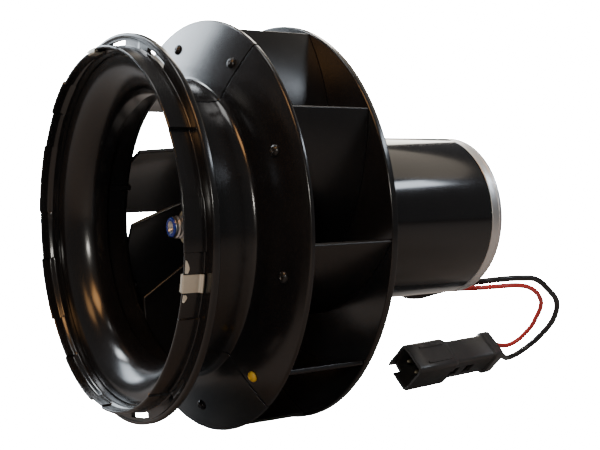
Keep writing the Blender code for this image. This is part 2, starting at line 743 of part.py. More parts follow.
def bore_along(side, radius, y0, y1):
    """A straight bore beside the connector's axis."""
    outline = [(0, y0), (radius, y0), (radius, y1), (0, y1)]
    return placed(revolved(outline, steps=12), Matrix.Translation((side, 0, 0)))


def connector_housing():
    """Square housing with a socket in front, waisted behind, and a collar that holds the seal."""
    big = rounded_square(CONNECTOR_W, CONNECTOR_CORNER)
    small = rounded_square(CONNECTOR_W - 3.6, CONNECTOR_CORNER - 0.6)
    collar = rounded_square(CONNECTOR_W - 1.0, CONNECTOR_CORNER)
    sections = [
        (big, CONNECTOR_FRONT), (big, -2.0), (small, 2.0), (small, CONNECTOR_REAR - 8.0),
        (collar, CONNECTOR_REAR - 7.0), (collar, CONNECTOR_REAR),
    ]
    made = finish("connector_housing", lofted(sections), (PLASTIC, 0.4))
    mouth = rounded_square(CONNECTOR_W - 2 * SOCKET_WALL, SOCKET_CORNER)
    floor = CONNECTOR_FRONT + SOCKET_DEPTH
    combine(made, lofted([(mouth, CONNECTOR_FRONT - 1), (mouth, floor)]), "DIFFERENCE")
    for side, wire_r in zip(PIN_ASIDE, (RED_R, BLACK_R)):
        combine(made, bore_along(side, PIN_R + GAP, floor - 1, PIN_REAR), "DIFFERENCE")
        combine(made, bore_along(side, wire_r + GAP, PIN_REAR - 1, CONNECTOR_REAR), "DIFFERENCE")
    seat = rounded_square(SEAL_W + 2 * GAP, SEAL_CORNER)
    pocket = CONNECTOR_REAR - SEAL_DEPTH - GAP
    combine(made, lofted([(seat, pocket), (seat, CONNECTOR_REAR + 1)]), "DIFFERENCE")
    return on_connector(made)


def connector_pin(index):
    tip = CONNECTOR_FRONT + PIN_INSET
    outline = [(0, tip), (PIN_R * 0.5, tip), (PIN_R, tip + 1.5), (PIN_R, PIN_REAR), (0, PIN_REAR)]
    work = placed(revolved(outline, steps=12), Matrix.Translation((PIN_ASIDE[index], 0, 0)))
    return on_connector(finish(f"connector_pin_{index + 1}", work, (BRASS, 0.3, 1.0)))


def connector_seal():
    """Rubber seal in the housing's rear, with a hole for each wire."""
    outline = rounded_square(SEAL_W, SEAL_CORNER)
    front, rear = CONNECTOR_REAR - SEAL_DEPTH, CONNECTOR_REAR + SEAL_PROUD
    made = finish("connector_seal", lofted([(outline, front), (outline, rear)]), (RUBBER, 0.8))
    for side, wire_r in zip(PIN_ASIDE, (RED_R, BLACK_R)):
        combine(made, bore_along(side, wire_r + GAP, front - 1, rear + 1), "DIFFERENCE")
    return on_connector(made)


def wires():
    """Both wires: out of the grommet, along under the motor, round in a loop and into the connector."""
    start = math.radians(GROMMET_ANGLE)
    out = Vector((math.cos(start), 0, math.sin(start)))
    front = Vector((0, GROMMET_Y - WIRE_SPREAD, 0))
    rear = Vector((0, GROMMET_Y + WIRE_SPREAD, 0))
    stops = (CONNECTOR_REAR + 8, CONNECTOR_REAR + 1, CONNECTOR_REAR - 10, PIN_REAR + GAP)
    red, black = [[connector_frame() @ Vector((side, y, 0)) for y in stops] for side in PIN_ASIDE]
    black_route = [
        out * WIRE_START + front, out * (WIRE_START + 2.4) + front,
        (-22.6, -6, -49.5), (-18, 7, -47), (-5, 17, -42), (8, 22.5, -39), (13, 33, -38), (13.5, 45, -38.3),
        (14, 57.5, -40), (14.5, 67.5, -47), (11.5, 77.5, -55), (6, 82.5, -64), (-9, 87.5, -78.5),
        (-20, 82.5, -90), (-19, 67.5, -93.8),
    ]
    red_route = [
        out * WIRE_START + rear, out * (WIRE_START + 1.2) + rear,
        (-19.5, -3.5, -46.2), (-13.5, 6, -45.5), (-2, 13.5, -44.0), (8, 19.7, -42.8), (12.5, 31, -42.2),
        (13, 43.5, -42.6), (12, 55, -45.3), (9.5, 64, -50.5), (5, 71, -57), (-2, 74.5, -66),
        (-12, 77, -76.5), (-19, 71, -85),
    ]
    wire("wire_black", smooth_route(black_route + black, 2), BLACK_R, (RUBBER, 0.45), sides=2)
    wire("wire_red", smooth_route(red_route + red, 2), RED_R, (RED, 0.4), sides=2)


# ---------------------------------------------------------------- assembly

def main():
    wheel = axis_empty("wheel_axis")
    ring = axis_empty("ring_axis")
    back_plate(wheel)
    hub(wheel)
    wheel_shaft(wheel)
    washer_and_nut(wheel)
    armature(wheel)
    for index in range(BLADE_COUNT):
        blade(index, wheel)
        rivet(index, wheel)
    for index in range(3):
        shroud_segment(index, wheel)
    motor_can()
    end_bell()
    bearing("front_bearing", CAN_FRONT + CAN_FACE)
    bearing("rear_bearing", -BELL_FACE - BEARING_W)
    for index in range(4):
        magnet(index)
    for index in range(2):
        motor_bolt(index)
        brush(index)
        brush_spring(index)
    brush_plate()
    inlet_ring(ring)
    bell_mouth(ring)
    for index in range(len(CLIP_ANGLES)):
        ring_clip(index, ring)
    grommet()
    connector_housing()
    for index in range(2):
        connector_pin(index)
    connector_seal()
    wires()


main()
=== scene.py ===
"""Looks for a motorised backward-curved blower wheel with its inlet ring and pigtail.

The wheel's axis is Y: air enters at -Y and the motor is at +Y. Lengths inside the builders are in
millimetres and are turned into metres by MM when a piece is made.
"""

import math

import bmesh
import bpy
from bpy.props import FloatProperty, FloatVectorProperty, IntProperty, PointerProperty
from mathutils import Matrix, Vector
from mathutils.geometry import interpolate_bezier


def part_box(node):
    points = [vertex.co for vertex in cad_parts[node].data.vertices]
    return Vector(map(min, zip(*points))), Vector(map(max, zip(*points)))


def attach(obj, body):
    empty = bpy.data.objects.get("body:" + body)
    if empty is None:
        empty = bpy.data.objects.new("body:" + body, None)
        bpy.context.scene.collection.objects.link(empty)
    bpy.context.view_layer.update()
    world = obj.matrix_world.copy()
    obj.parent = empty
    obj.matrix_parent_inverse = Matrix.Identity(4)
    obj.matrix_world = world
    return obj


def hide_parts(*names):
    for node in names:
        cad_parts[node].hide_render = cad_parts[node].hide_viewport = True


bl_info = {
    "name": "Blower Wheel Looks",
    "version": (1, 0, 0),
    "blender": (4, 5, 0),
    "location": "View3D > Sidebar > Blower Wheel",
    "description": "Detailed surfaces and materials for a motorised blower wheel",
    "category": "Object",
}

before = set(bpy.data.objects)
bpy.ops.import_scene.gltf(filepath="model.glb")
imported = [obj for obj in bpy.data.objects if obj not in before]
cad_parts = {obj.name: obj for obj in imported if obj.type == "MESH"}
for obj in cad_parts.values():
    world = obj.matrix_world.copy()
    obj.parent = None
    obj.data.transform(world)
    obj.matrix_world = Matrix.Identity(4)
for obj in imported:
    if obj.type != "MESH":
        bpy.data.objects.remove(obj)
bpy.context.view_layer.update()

MM = 0.001


# ------------------------------------------------------------------ places taken from the frame

def low(node):
    return Vector(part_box(node)[0]) / MM


def high(node):
    return Vector(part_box(node)[1]) / MM


PLATE_FRONT = low("back_plate").y
PLATE_REAR = PLATE_FRONT + 2.0      # the disc itself, without its thicker rim
NECK_END = low("shroud_segment_1").y
RIM_REAR = high("shroud_segment_1").y
RIM_R = high("shroud_segment_3").x
CAN_FRONT = low("motor_can").y
CAN_REAR = high("motor_can").y
CAN_R = high("motor_can").x
RING_R = high("inlet_ring").x
HUB_FRONT = low("hub").y
SHAFT_TIP = low("motor_shaft").y
SHAFT_R = high("motor_shaft").x
NUT_R = high("hub_nut").x


# ------------------------------------------------------------------ settings a user would change

class WheelSettings(bpy.types.PropertyGroup):
    blades: IntProperty(name="Blades", description="Number of blades", default=10, min=3, max=30)
    first_blade: FloatProperty(name="First Blade", description="Angle of the first blade's tip, degrees",
                               default=71.0)
    blade_thickness: FloatProperty(name="Blade Thickness", description="Blade thickness, mm",
                                   default=2.2, min=0.5)
    blade_sweep: FloatProperty(name="Blade Sweep", description="Lag for each e-fold of radius, radians",
                               default=1.43)
    sheet: FloatProperty(name="Skin", description="Thickness of the shroud, mm", default=2.0, min=0.5)
    neck_radius: FloatProperty(name="Neck Radius", description="Outside of the shroud's neck, mm",
                               default=70.0)
    colour: FloatVectorProperty(name="Wheel Colour", description="Colour of the moulding", subtype="COLOR",
                                default=(0.006, 0.006, 0.007), min=0.0, max=1.0)


class RingSettings(bpy.types.PropertyGroup):
    slot_half: FloatProperty(name="Slot Half", description="Half of a window's arc in the flange, degrees",
                             default=6.0, min=1.0, max=14.0)
    wall_radius: FloatProperty(name="Wall Radius", description="Outside of the upright wall, mm",
                               default=84.4)
    wall_height: FloatProperty(name="Wall Height", description="Wall in front of the flange, mm",
                               default=9.6)
    throat_radius: FloatProperty(name="Throat Radius", description="Inside of the throat, mm",
                                 default=64.2)
    colour: FloatVectorProperty(name="Ring Colour", description="Colour of the ring", subtype="COLOR",
                                default=(0.006, 0.006, 0.007), min=0.0, max=1.0)


class MotorSettings(bpy.types.PropertyGroup):
    colour: FloatVectorProperty(name="Can Colour", description="Paint on the motor's can", subtype="COLOR",
                                default=(0.004, 0.004, 0.005), min=0.0, max=1.0)
    band_colour: FloatVectorProperty(name="End Bell Colour", description="Bare metal of the end bell",
                                     subtype="COLOR", default=(0.80, 0.80, 0.80), min=0.0, max=1.0)


class WiringSettings(bpy.types.PropertyGroup):
    black_diameter: FloatProperty(name="Black Wire", description="Black wire's diameter", subtype="DISTANCE",
                                  default=0.0036, min=0.0005)
    red_diameter: FloatProperty(name="Red Wire", description="Red wire's diameter", subtype="DISTANCE",
                                default=0.0030, min=0.0005)
    red: FloatVectorProperty(name="Red", description="Colour of the red wire", subtype="COLOR",
                             default=(0.75, 0.05, 0.045), min=0.0, max=1.0)


class StageSettings(bpy.types.PropertyGroup):
    azimuth: FloatProperty(name="Azimuth", description="Camera's turn from the front", subtype="ANGLE",
                           default=math.radians(56.75))
    elevation: FloatProperty(name="Elevation", description="Camera's height angle", subtype="ANGLE",
                             default=math.radians(4.11))
    lens: FloatProperty(name="Lens", description="Focal length, mm on a 36 mm sensor", default=63.0)


# ------------------------------------------------------------------ mesh helpers

SHARP = 35.0                # edges that turn by more than this many degrees stay crisp


def polar(radius, degrees, y=0.0):
    angle = math.radians(degrees)
    return Vector((radius * math.cos(angle), y, radius * math.sin(angle)))


def softened(corners, steps=4):
    """A closed outline of (r, y, setback) corners, each rounded over its setback."""
    points = []
    count = len(corners)
    for i, (r, y, setback) in enumerate(corners):
        here = Vector((r, y))
        if setback <= 0:
            points.append((r, y))
            continue
        before = Vector(corners[i - 1][:2]) - here
        after = Vector(corners[(i + 1) % count][:2]) - here
        a = here + before.normalized() * min(setback, before.length * 0.49)
        b = here + after.normalized() * min(setback, after.length * 0.49)
        for k in range(steps + 1):
            t = k / steps
            spot = a * (1 - t) ** 2 + here * 2 * t * (1 - t) + b * t ** 2
            points.append((spot.x, spot.y))
    return points


def turned(outline, start=0.0, end=360.0, steps=160, angles=None):
    """A closed (radius, y) outline swept about Y. outline may be a function of the angle."""
    shape = outline if callable(outline) else lambda angle: outline
    whole = end - start >= 360.0
    if angles is None:
        count = steps if whole else steps + 1
        angles = [start + (end - start) * i / steps for i in range(count)]
    work = bmesh.new()
    rings = [[work.verts.new(polar(max(r, 0.0), angle, y)) for r, y in shape(angle)] for angle in angles]
    last = len(rings) if whole else len(rings) - 1
    for i in range(last):
        here, there = rings[i], rings[(i + 1) % len(rings)]
        for j in range(len(here)):
            k = (j + 1) % len(here)
            work.faces.new((here[j], here[k], there[k], there[j]))
    if not whole:
        work.faces.new(rings[0])
        work.faces.new(rings[-1])
    return work


def skinned(rings):
    """A closed skin over rings of points with equal counts."""
    work = bmesh.new()
    made = [[work.verts.new(point) for point in ring] for ring in rings]
    for a, b in zip(made, made[1:]):
        for j in range(len(a)):
            k = (j + 1) % len(a)
            work.faces.new((a[j], a[k], b[k], b[j]))
    work.faces.new(made[0])
    work.faces.new(made[-1])
    return work


def moved(work, matrix):
    bmesh.ops.transform(work, matrix=matrix, verts=work.verts)
    return work


def drill(radius, front, back, steps, place=(0, 0, 0)):
    """A round bar along Y that cuts a hole."""
    bar = turned([(0, front), (radius, front), (radius, back), (0, back)], steps=steps)
    return moved(bar, Matrix.Translation(place))


def piece(name, work, look, sharp=SHARP):
    """Make a bmesh in millimetres into a smooth-shaded object."""
    bmesh.ops.remove_doubles(work, verts=work.verts, dist=1e-4)
    bmesh.ops.recalc_face_normals(work, faces=work.faces)
    bmesh.ops.scale(work, vec=(MM, MM, MM), verts=work.verts)
    mesh = bpy.data.meshes.new(name)
    work.to_mesh(mesh)
    work.free()
    mesh.materials.append(look)
    mesh.shade_smooth()
    mesh.set_sharp_from_angle(angle=math.radians(sharp))
    made = bpy.data.objects.new(name, mesh)
    bpy.context.scene.collection.objects.link(made)
    return made


def belong(made, body, node=None):
    """Say what a piece moves with, and hide the CAD node it stands for."""
    if node:
        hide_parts(node)
    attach(made, body)
    return made


def carve(target, works, operation="DIFFERENCE"):
    """Cut closed bmeshes out of the target for good, or join them on."""
    for work in works:
        tool = piece("tool", work, target.data.materials[0])
        step = target.modifiers.new("cut", "BOOLEAN")
        step.operation = operation
        step.object = tool
        bpy.context.view_layer.update()
        seen = target.evaluated_get(bpy.context.evaluated_depsgraph_get())
        mesh = bpy.data.meshes.new_from_object(seen)
        target.modifiers.clear()
        target.data = mesh
        bpy.data.objects.remove(tool)
    target.data.shade_smooth()
    target.data.set_sharp_from_angle(angle=math.radians(SHARP))


def soften_edges(made, width, segments=2):
    """Round the piece's hard edges a little, so that they catch the light."""
    step = made.modifiers.new("edges", "BEVEL")
    step.width = width * MM
    step.segments = segments
    step.limit_method = "ANGLE"
    step.angle_limit = math.radians(SHARP)
    step.harden_normals = True


def square(side, corner, y, steps=5):
    """Points of a square with round corners, across the Y axis."""
    points = []
    reach = side / 2 - corner
    for quarter, (sx, sz) in enumerate(((1, 1), (-1, 1), (-1, -1), (1, -1))):
        for i in range(steps + 1):
            angle = math.radians(90 * quarter + 90 * i / steps)
            x = sx * reach + corner * math.cos(angle)
            points.append(Vector((x, y, sz * reach + corner * math.sin(angle))))
    return points


def block(x0, x1, y0, y1, z0, z1):
    corners = ((x0, z0), (x1, z0), (x1, z1), (x0, z1))
    return skinned([[Vector((x, y, z)) for x, z in corners] for y in (y0, y1)])


# ------------------------------------------------------------------ shared shader effects

def group(name, **inputs):
    """A new effect that puts out colour, roughness and height; returns its tree and two end nodes."""
    tree = bpy.data.node_groups.new(name, "ShaderNodeTree")
    for label, default in inputs.items():
        kind = "NodeSocketColor" if isinstance(default, tuple) else "NodeSocketFloat"
        tree.interface.new_socket(name=label, in_out="INPUT", socket_type=kind).default_value = default
    for label in ("Colour", "Roughness", "Height"):
        kind = "NodeSocketColor" if label == "Colour" else "NodeSocketFloat"
        tree.interface.new_socket(name=label, in_out="OUTPUT", socket_type=kind)
    return tree, tree.nodes.new("NodeGroupInput"), tree.nodes.new("NodeGroupOutput")


def noise(tree, scale, detail, roughness):
    """Object-space noise; returns its node."""
    place = tree.nodes.new("ShaderNodeTexCoord")
    node = tree.nodes.new("ShaderNodeTexNoise")
    node.inputs["Scale"].default_value = scale
    node.inputs["Detail"].default_value = detail
    node.inputs["Roughness"].default_value = roughness
    tree.links.new(place.outputs["Object"], node.inputs["Vector"])
    return node


def maths(tree, operation, a, b=None):
    node = tree.nodes.new("ShaderNodeMath")
    node.operation = operation
    for socket, value in zip(node.inputs, (a, b)):
        if value is None:
            continue
        if isinstance(value, (int, float)):
            socket.default_value = value
        else:
            tree.links.new(value, socket)
    return node.outputs[0]


def plus(tree, a, b):
    return maths(tree, "ADD", a, b)


def times(tree, a, b):
    return maths(tree, "MULTIPLY", a, b)


def ramped(tree, value, low_at, high_at):
    """A value from 0 at low_at to 1 at high_at."""
    node = tree.nodes.new("ShaderNodeMapRange")
    node.inputs["From Min"].default_value = low_at
    node.inputs["From Max"].default_value = high_at
    tree.links.new(value, node.inputs["Value"])
    return node.outputs["Result"]


def blended(tree, factor, a, b):
    node = tree.nodes.new("ShaderNodeMix")
    node.data_type = "RGBA"
    tree.links.new(factor, node.inputs["Factor"])
    for socket, value in ((node.inputs[6], a), (node.inputs[7], b)):
        if isinstance(value, tuple):
            socket.default_value = value
        else:
            tree.links.new(value, socket)
    return node.outputs[2]


DUST = (0.30, 0.28, 0.26, 1)
STAIN = (0.33, 0.31, 0.29, 1)
TOOL_MARKS = 9000.0         # how fine the turned rings are
BUMP_DEPTH = 0.0002


def moulded_skin_group():
    """Moulded or painted skin: soft waviness, a fine grain, uneven gloss, and dust that lies in patches."""
    tree, start, end = group("Moulded Skin", Colour=(0.01, 0.01, 0.01, 1), Roughness=0.2, Waviness=0.3,
                             Dust=0.3)
    link = tree.links.new
    dust = start.outputs["Dust"]
    cloudy = noise(tree, 38.0, 5.0, 0.6).outputs["Fac"]
    specks = noise(tree, 900.0, 2.0, 0.7).outputs["Fac"]
    swell = noise(tree, 110.0, 2.0, 0.4).outputs["Fac"]
    grain = noise(tree, 2600.0, 2.0, 0.5).outputs["Fac"]
    split = tree.nodes.new("ShaderNodeSeparateXYZ")
    link(tree.nodes.new("ShaderNodeNewGeometry").outputs["Normal"], split.inputs[0])
    upward = plus(tree, times(tree, ramped(tree, split.outputs["Z"], 0.1, 1.0), 0.8), 0.2)
    film = times(tree, times(tree, ramped(tree, cloudy, 0.42, 0.75), upward), dust)
    speck = times(tree, ramped(tree, specks, 0.62, 0.78), dust)
    cover = maths(tree, "MINIMUM", plus(tree, times(tree, film, 0.16), times(tree, speck, 0.22)), 1.0)
    link(blended(tree, cover, start.outputs["Colour"], DUST), end.inputs["Colour"])
    uneven = times(tree, ramped(tree, cloudy, 0.35, 0.75), 0.06)
    rough = plus(tree, start.outputs["Roughness"], uneven)
    link(plus(tree, rough, times(tree, cover, 0.5)), end.inputs["Roughness"])
    wave = times(tree, swell, start.outputs["Waviness"])
    link(plus(tree, wave, times(tree, grain, 0.03)), end.inputs["Height"])
    return tree


def turned_metal_group():
    """Bare metal turned on a lathe: fine rings about Y and stains."""
    tree, start, end = group("Turned Metal", Colour=(0.8, 0.8, 0.8, 1), Roughness=0.3, Rings=1.0, Stain=0.3)
    link = tree.links.new
    split = tree.nodes.new("ShaderNodeSeparateXYZ")
    link(tree.nodes.new("ShaderNodeTexCoord").outputs["Object"], split.inputs[0])
    x, y, z = (split.outputs[axis] for axis in "XYZ")
    across = maths(tree, "SQRT", plus(tree, times(tree, x, x), times(tree, z, z)))
    fine = tree.nodes.new("ShaderNodeTexNoise")
    fine.noise_dimensions = "1D"
    fine.inputs["Scale"].default_value = 1.0
    fine.inputs["Detail"].default_value = 3.0
    link(plus(tree, times(tree, across, TOOL_MARKS), times(tree, y, TOOL_MARKS)), fine.inputs["W"])
    stain = noise(tree, 60.0, 6.0, 0.65).outputs["Fac"]
    cover = times(tree, ramped(tree, stain, 0.45, 0.8), start.outputs["Stain"])
    link(blended(tree, cover, start.outputs["Colour"], STAIN), end.inputs["Colour"])
    marks = times(tree, ramped(tree, fine.outputs["Fac"], 0.3, 0.7), 0.12)
    dull = times(tree, ramped(tree, stain, 0.4, 0.8), 0.15)
    link(plus(tree, plus(tree, start.outputs["Roughness"], marks), dull), end.inputs["Roughness"])
    link(times(tree, fine.outputs["Fac"], start.outputs["Rings"]), end.inputs["Height"])
    return tree


def plated_group():
    """Plate or paint on metal, and sintered stone: mottled sheen and pits."""
    tree, start, end = group("Plated", Colour=(0.8, 0.76, 0.66, 1), Tint=(0.6, 0.6, 0.62, 1), Roughness=0.3,
                             Scale=300.0)
    link = tree.links.new
    speckle = noise(tree, 300.0, 4.0, 0.6)
    link(start.outputs["Scale"], speckle.inputs["Scale"])
    mottle = speckle.outputs["Fac"]
    pits = noise(tree, 2400.0, 3.0, 0.6).outputs["Fac"]
    patches = ramped(tree, mottle, 0.3, 0.7)
    link(blended(tree, patches, start.outputs["Colour"], start.outputs["Tint"]), end.inputs["Colour"])
    link(plus(tree, start.outputs["Roughness"], times(tree, mottle, 0.2)), end.inputs["Roughness"])
    link(plus(tree, times(tree, mottle, 0.3), times(tree, pits, 0.4)), end.inputs["Height"])
    return tree


def surface(name, effect, make, bump, values, sockets):
    """A material whose Principled shader is fed by a shared effect."""
    found = bpy.data.materials.get(name)
    if found:
        return found
    made = bpy.data.materials.new(name)
    made.use_nodes = True
    tree = made.node_tree
    shader = tree.nodes["Principled BSDF"]
    node = tree.nodes.new("ShaderNodeGroup")
    node.node_tree = bpy.data.node_groups.get(effect) or make()
    for label, value in values.items():
        node.inputs[label].default_value = (*value, 1.0) if label in ("Colour", "Tint") else value
    tree.links.new(node.outputs["Colour"], shader.inputs["Base Color"])
    tree.links.new(node.outputs["Roughness"], shader.inputs["Roughness"])
    relief = tree.nodes.new("ShaderNodeBump")
    relief.inputs["Strength"].default_value = bump
    relief.inputs["Distance"].default_value = BUMP_DEPTH
    tree.links.new(node.outputs["Height"], relief.inputs["Height"])
    tree.links.new(relief.outputs["Normal"], shader.inputs["Normal"])
    for label, value in sockets.items():
        shader.inputs[label.replace("_", " ")].default_value = value
    return made


def moulded(name, colour, roughness, waviness, dust, bump, **sockets):
    values = {"Colour": colour, "Roughness": roughness, "Waviness": waviness, "Dust": dust}
    return surface(name, "Moulded Skin", moulded_skin_group, bump, values, sockets)


def machined(name, colour, roughness, rings, stain, bump):
    values = {"Colour": colour, "Roughness": roughness, "Rings": rings, "Stain": stain}
    return surface(name, "Turned Metal", turned_metal_group, bump, values, {"Metallic": 1.0})


def plated(name, colour, tint, roughness, scale, bump, metallic):
    values = {"Colour": colour, "Tint": tint, "Roughness": roughness, "Scale": scale}
    return surface(name, "Plated", plated_group, bump, values, {"Metallic": metallic})


# ------------------------------------------------------------------ finishes

def wheel_gloss():
    return moulded("wheel_gloss_black", bpy.context.scene.blower_wheel.colour, roughness=0.17,
                   waviness=0.45, dust=0.2, bump=0.25, Specular_IOR_Level=0.6)


def blade_gloss():
    return moulded("blade_satin_black", bpy.context.scene.blower_wheel.colour, roughness=0.28,
                   waviness=0.5, dust=0.2, bump=0.2)


def ring_gloss():
    return moulded("ring_gloss_black", bpy.context.scene.blower_ring.colour, roughness=0.17,
                   waviness=0.4, dust=0.08, bump=0.12, Specular_IOR_Level=0.6)


def can_paint():
    return moulded("can_gloss_paint", bpy.context.scene.blower_motor.colour, roughness=0.12,
                   waviness=0.5, dust=0.05, bump=0.15, Coat_Weight=0.4, Coat_Roughness=0.08)


def bare_band():
    return machined("end_bell_turned", bpy.context.scene.blower_motor.band_colour, roughness=0.28,
                    rings=1.0, stain=0.3, bump=0.2)


def ground_steel():
    return machined("ground_steel", (0.62, 0.62, 0.64), roughness=0.2, rings=0.6, stain=0.25, bump=0.15)


def copper():
    return machined("copper_wire", (0.72, 0.33, 0.16), roughness=0.3, rings=1.0, stain=0.2, bump=0.4)


def zinc():
    return plated("zinc_plate", (0.95, 0.86, 0.62), (0.86, 0.80, 0.62), roughness=0.36, scale=240.0,
                  bump=0.1, metallic=0.7)


def brass():
    return plated("nut_brass", (0.78, 0.62, 0.36), (0.72, 0.66, 0.5), roughness=0.22, scale=200.0,
                  bump=0.1, metallic=1.0)


def rivet_paint():
    return plated("rivet_black", (0.012, 0.012, 0.013), (0.02, 0.02, 0.02), roughness=0.16, scale=500.0,
                  bump=0.1, metallic=0.3)


def dark_stone():
    return plated("magnet_ferrite", (0.06, 0.06, 0.065), (0.09, 0.09, 0.1), roughness=0.55, scale=700.0,
                  bump=0.4, metallic=0.0)


def yellow_dot():
    return moulded("yellow_paint", (0.72, 0.42, 0.02), roughness=0.45, waviness=0.8, dust=0.1, bump=0.4)


def blue_lock():
    return moulded("thread_lock_blue", (0.01, 0.03, 0.30), roughness=0.2, waviness=0.8, dust=0.0, bump=0.3)


def connector_nylon():
    return moulded("connector_nylon", (0.034, 0.031, 0.030), roughness=0.33, waviness=0.4, dust=0.5,
                   bump=0.3)


def soft_rubber():
    return moulded("soft_rubber", (0.018, 0.018, 0.018), roughness=0.65, waviness=1.0, dust=0.6, bump=0.5)


def brown_board():
    return moulded("phenolic_board", (0.24, 0.11, 0.05), roughness=0.5, waviness=0.6, dust=0.3, bump=0.3)


def insulation(name, colour):
    return moulded(name, colour, roughness=0.32, waviness=0.6, dust=0.2, bump=0.2)


# ------------------------------------------------------------------ wheel shapes

FOOT = 5.0                  # width of the fillet between dish and neck
DISH_RISE = 8.4
SEAMS = (57.5, 165.5, 309.5)    # where the shroud's segments meet, in degrees
HALF_GAP = 0.3
STRIP_HALF = 1.0            # half of the arc of the lap behind a seam
BLADE_TIP_R = 98.2
BLADE_ROOTS = ((66.0, True), (44.0, False))     # radius of a blade's root at its front and rear edge
RIVET_R = 87.2
PAINTED_RIVET = 7
FLATS = 0.866               # a hexagon's flats over its corners


def dish_y(radius):
    """The shroud's outer surface."""
    wheel = bpy.context.scene.blower_wheel
    foot = wheel.neck_radius + FOOT
    t = (RIM_R - radius) / (RIM_R - foot)
    return RIM_REAR - wheel.sheet - DISH_RISE * t * (1.3 - 0.3 * t)


def shroud_outline():
    wheel = bpy.context.scene.blower_wheel
    skin = wheel.sheet
    neck = wheel.neck_radius
    foot = neck + FOOT
    count = 9
    outer = RIM_R - 1.2
    radii = [outer - (outer - foot - 1) * i / count for i in range(count + 1)]
    outside = [(RIM_R, dish_y(RIM_R) - 0.1, 0.8)] + [(r, dish_y(r), 0) for r in radii]
    corner = dish_y(foot) - 0.6
    outside += [(neck, corner, FOOT + 1.0), (neck, NECK_END, 0.8)]
    inside = [(neck - skin, NECK_END, 0.8), (neck - skin, corner + skin, FOOT)]
    back = [(r, dish_y(r) + skin, 0) for r in reversed(radii)] + [(RIM_R, dish_y(RIM_R) + skin, 0.8)]
    return softened(outside + inside + back, 6)


def blade_angle(radius, tip):
    wheel = bpy.context.scene.blower_wheel
    return tip - math.degrees(wheel.blade_sweep * math.log(BLADE_TIP_R / radius))


def blade_tip(index):
    wheel = bpy.context.scene.blower_wheel
    return wheel.first_blade + index * 360.0 / wheel.blades


def rivet_place(tip):
    """A rivet's frame: Y is the shroud's outward normal and the origin is on its outer surface."""
    slope = math.atan2(dish_y(RIVET_R - 1) - dish_y(RIVET_R + 1), 2.0)
    degrees = blade_angle(RIVET_R, tip)
    angle = math.radians(degrees)
    outward = Vector((math.cos(angle), 0, math.sin(angle)))
    normal = Vector((0, -math.cos(slope), 0)) - outward * math.sin(slope)
    sideways = Vector((-math.sin(angle), 0, math.cos(angle)))
    turn = Matrix((sideways, normal, sideways.cross(normal))).transposed().to_4x4()
    return Matrix.Translation(polar(RIVET_R, degrees, dish_y(RIVET_R))) @ turn


def make_shroud():
    look = wheel_gloss()
    for index, seam in enumerate(SEAMS):
        start = seam + HALF_GAP
        end = SEAMS[(index + 1) % 3] - HALF_GAP
        if end < start:
            end += 360
        steps = round((end - start) / 1.5)
        made = piece(f"shroud_skin_{index + 1}", turned(shroud_outline(), start, end, steps), look)
        soften_edges(made, 0.35)
        belong(made, "wheel", f"shroud_segment_{index + 1}")
        made = piece(f"seam_strip_{index + 1}", seam_strip(seam), blade_gloss())
        belong(made, "wheel")


def seam_strip(angle):
    """A thin lap behind a seam, along the inside of the dish and neck."""
    wheel = bpy.context.scene.blower_wheel
    neck = wheel.neck_radius - wheel.sheet
    foot = wheel.neck_radius + FOOT
    radii = [97.0 - (97.0 - foot) * i / 6 for i in range(7)]
    inner = [(r, dish_y(r) + wheel.sheet + 0.05) for r in radii]
    deep = [(r, y + 0.5) for r, y in reversed(inner)]
    outline = inner + [(neck, dish_y(foot) + 0.6), (neck - 0.05, NECK_END + 2)]
    outline += [(neck - 0.5, NECK_END + 2), (neck - 0.5, dish_y(foot) + 1.6)] + deep
    return turned(outline, angle - STRIP_HALF, angle + STRIP_HALF, 4)


def make_blades():
    wheel = bpy.context.scene.blower_wheel
    look = blade_gloss()
    stations = 22
    for index in range(wheel.blades):
        tip = blade_tip(index)
        rings = []
        for i in range(stations + 1):
            t = i / stations
            ring = []
            for base, front in BLADE_ROOTS:
                radius = base + (BLADE_TIP_R - base) * t
                sides = (1, -1) if front else (-1, 1)
                for side in sides:
                    spot = blade_point(radius, tip, side)
                    reach = max(math.hypot(spot.x, spot.z), wheel.neck_radius + FOOT)
                    spot.y = dish_y(reach) + wheel.sheet - 0.2 if front else PLATE_FRONT + 0.2
                    ring.append(spot)
            rings.append(ring)
        made = piece(f"blade_sheet_{index + 1:02d}", skinned(rings), look)
        soften_edges(made, 0.7, 3)
        belong(made, "wheel", f"blade_{index + 1:02d}")


def blade_point(radius, tip, side):
    """A point on one face of a blade; side is 1 or -1."""
    here = polar(radius, blade_angle(radius, tip))
    ahead = polar(radius + 0.1, blade_angle(radius + 0.1, tip)) - here
    across = Vector((ahead.z, 0, -ahead.x)).normalized()
    return here + across * (side * bpy.context.scene.blower_wheel.blade_thickness / 2)


def make_plate_and_hub():
    rim = high("back_plate").x
    outline = softened([
        (9.3, PLATE_FRONT, 0.3), (rim, PLATE_FRONT, 0.8), (rim, PLATE_REAR + 1.2, 0.5),
        (rim - 1.6, PLATE_REAR + 1.2, 0.4), (rim - 1.6, PLATE_REAR, 0.3), (9.3, PLATE_REAR, 0.3),
    ])
    made = piece("plate_disc", turned(outline, steps=200), wheel_gloss())
    belong(made, "wheel", "back_plate")
    face = PLATE_FRONT - 0.3
    outline = softened([
        (6.0, HUB_FRONT, 0.4), (11.0, HUB_FRONT, 1.2), (12.5, HUB_FRONT + 8, 3), (13.5, face - 14, 4),
        (17.5, face - 6, 4), (28.0, face - 3, 1), (29.0, face, 0.4), (9.0, face, 0), (9.0, PLATE_REAR, 0.3),
        (6.0, PLATE_REAR, 0.3),
    ])
    made = piece("hub_boss", turned(outline, steps=96), blade_gloss())
    belong(made, "wheel", "hub")


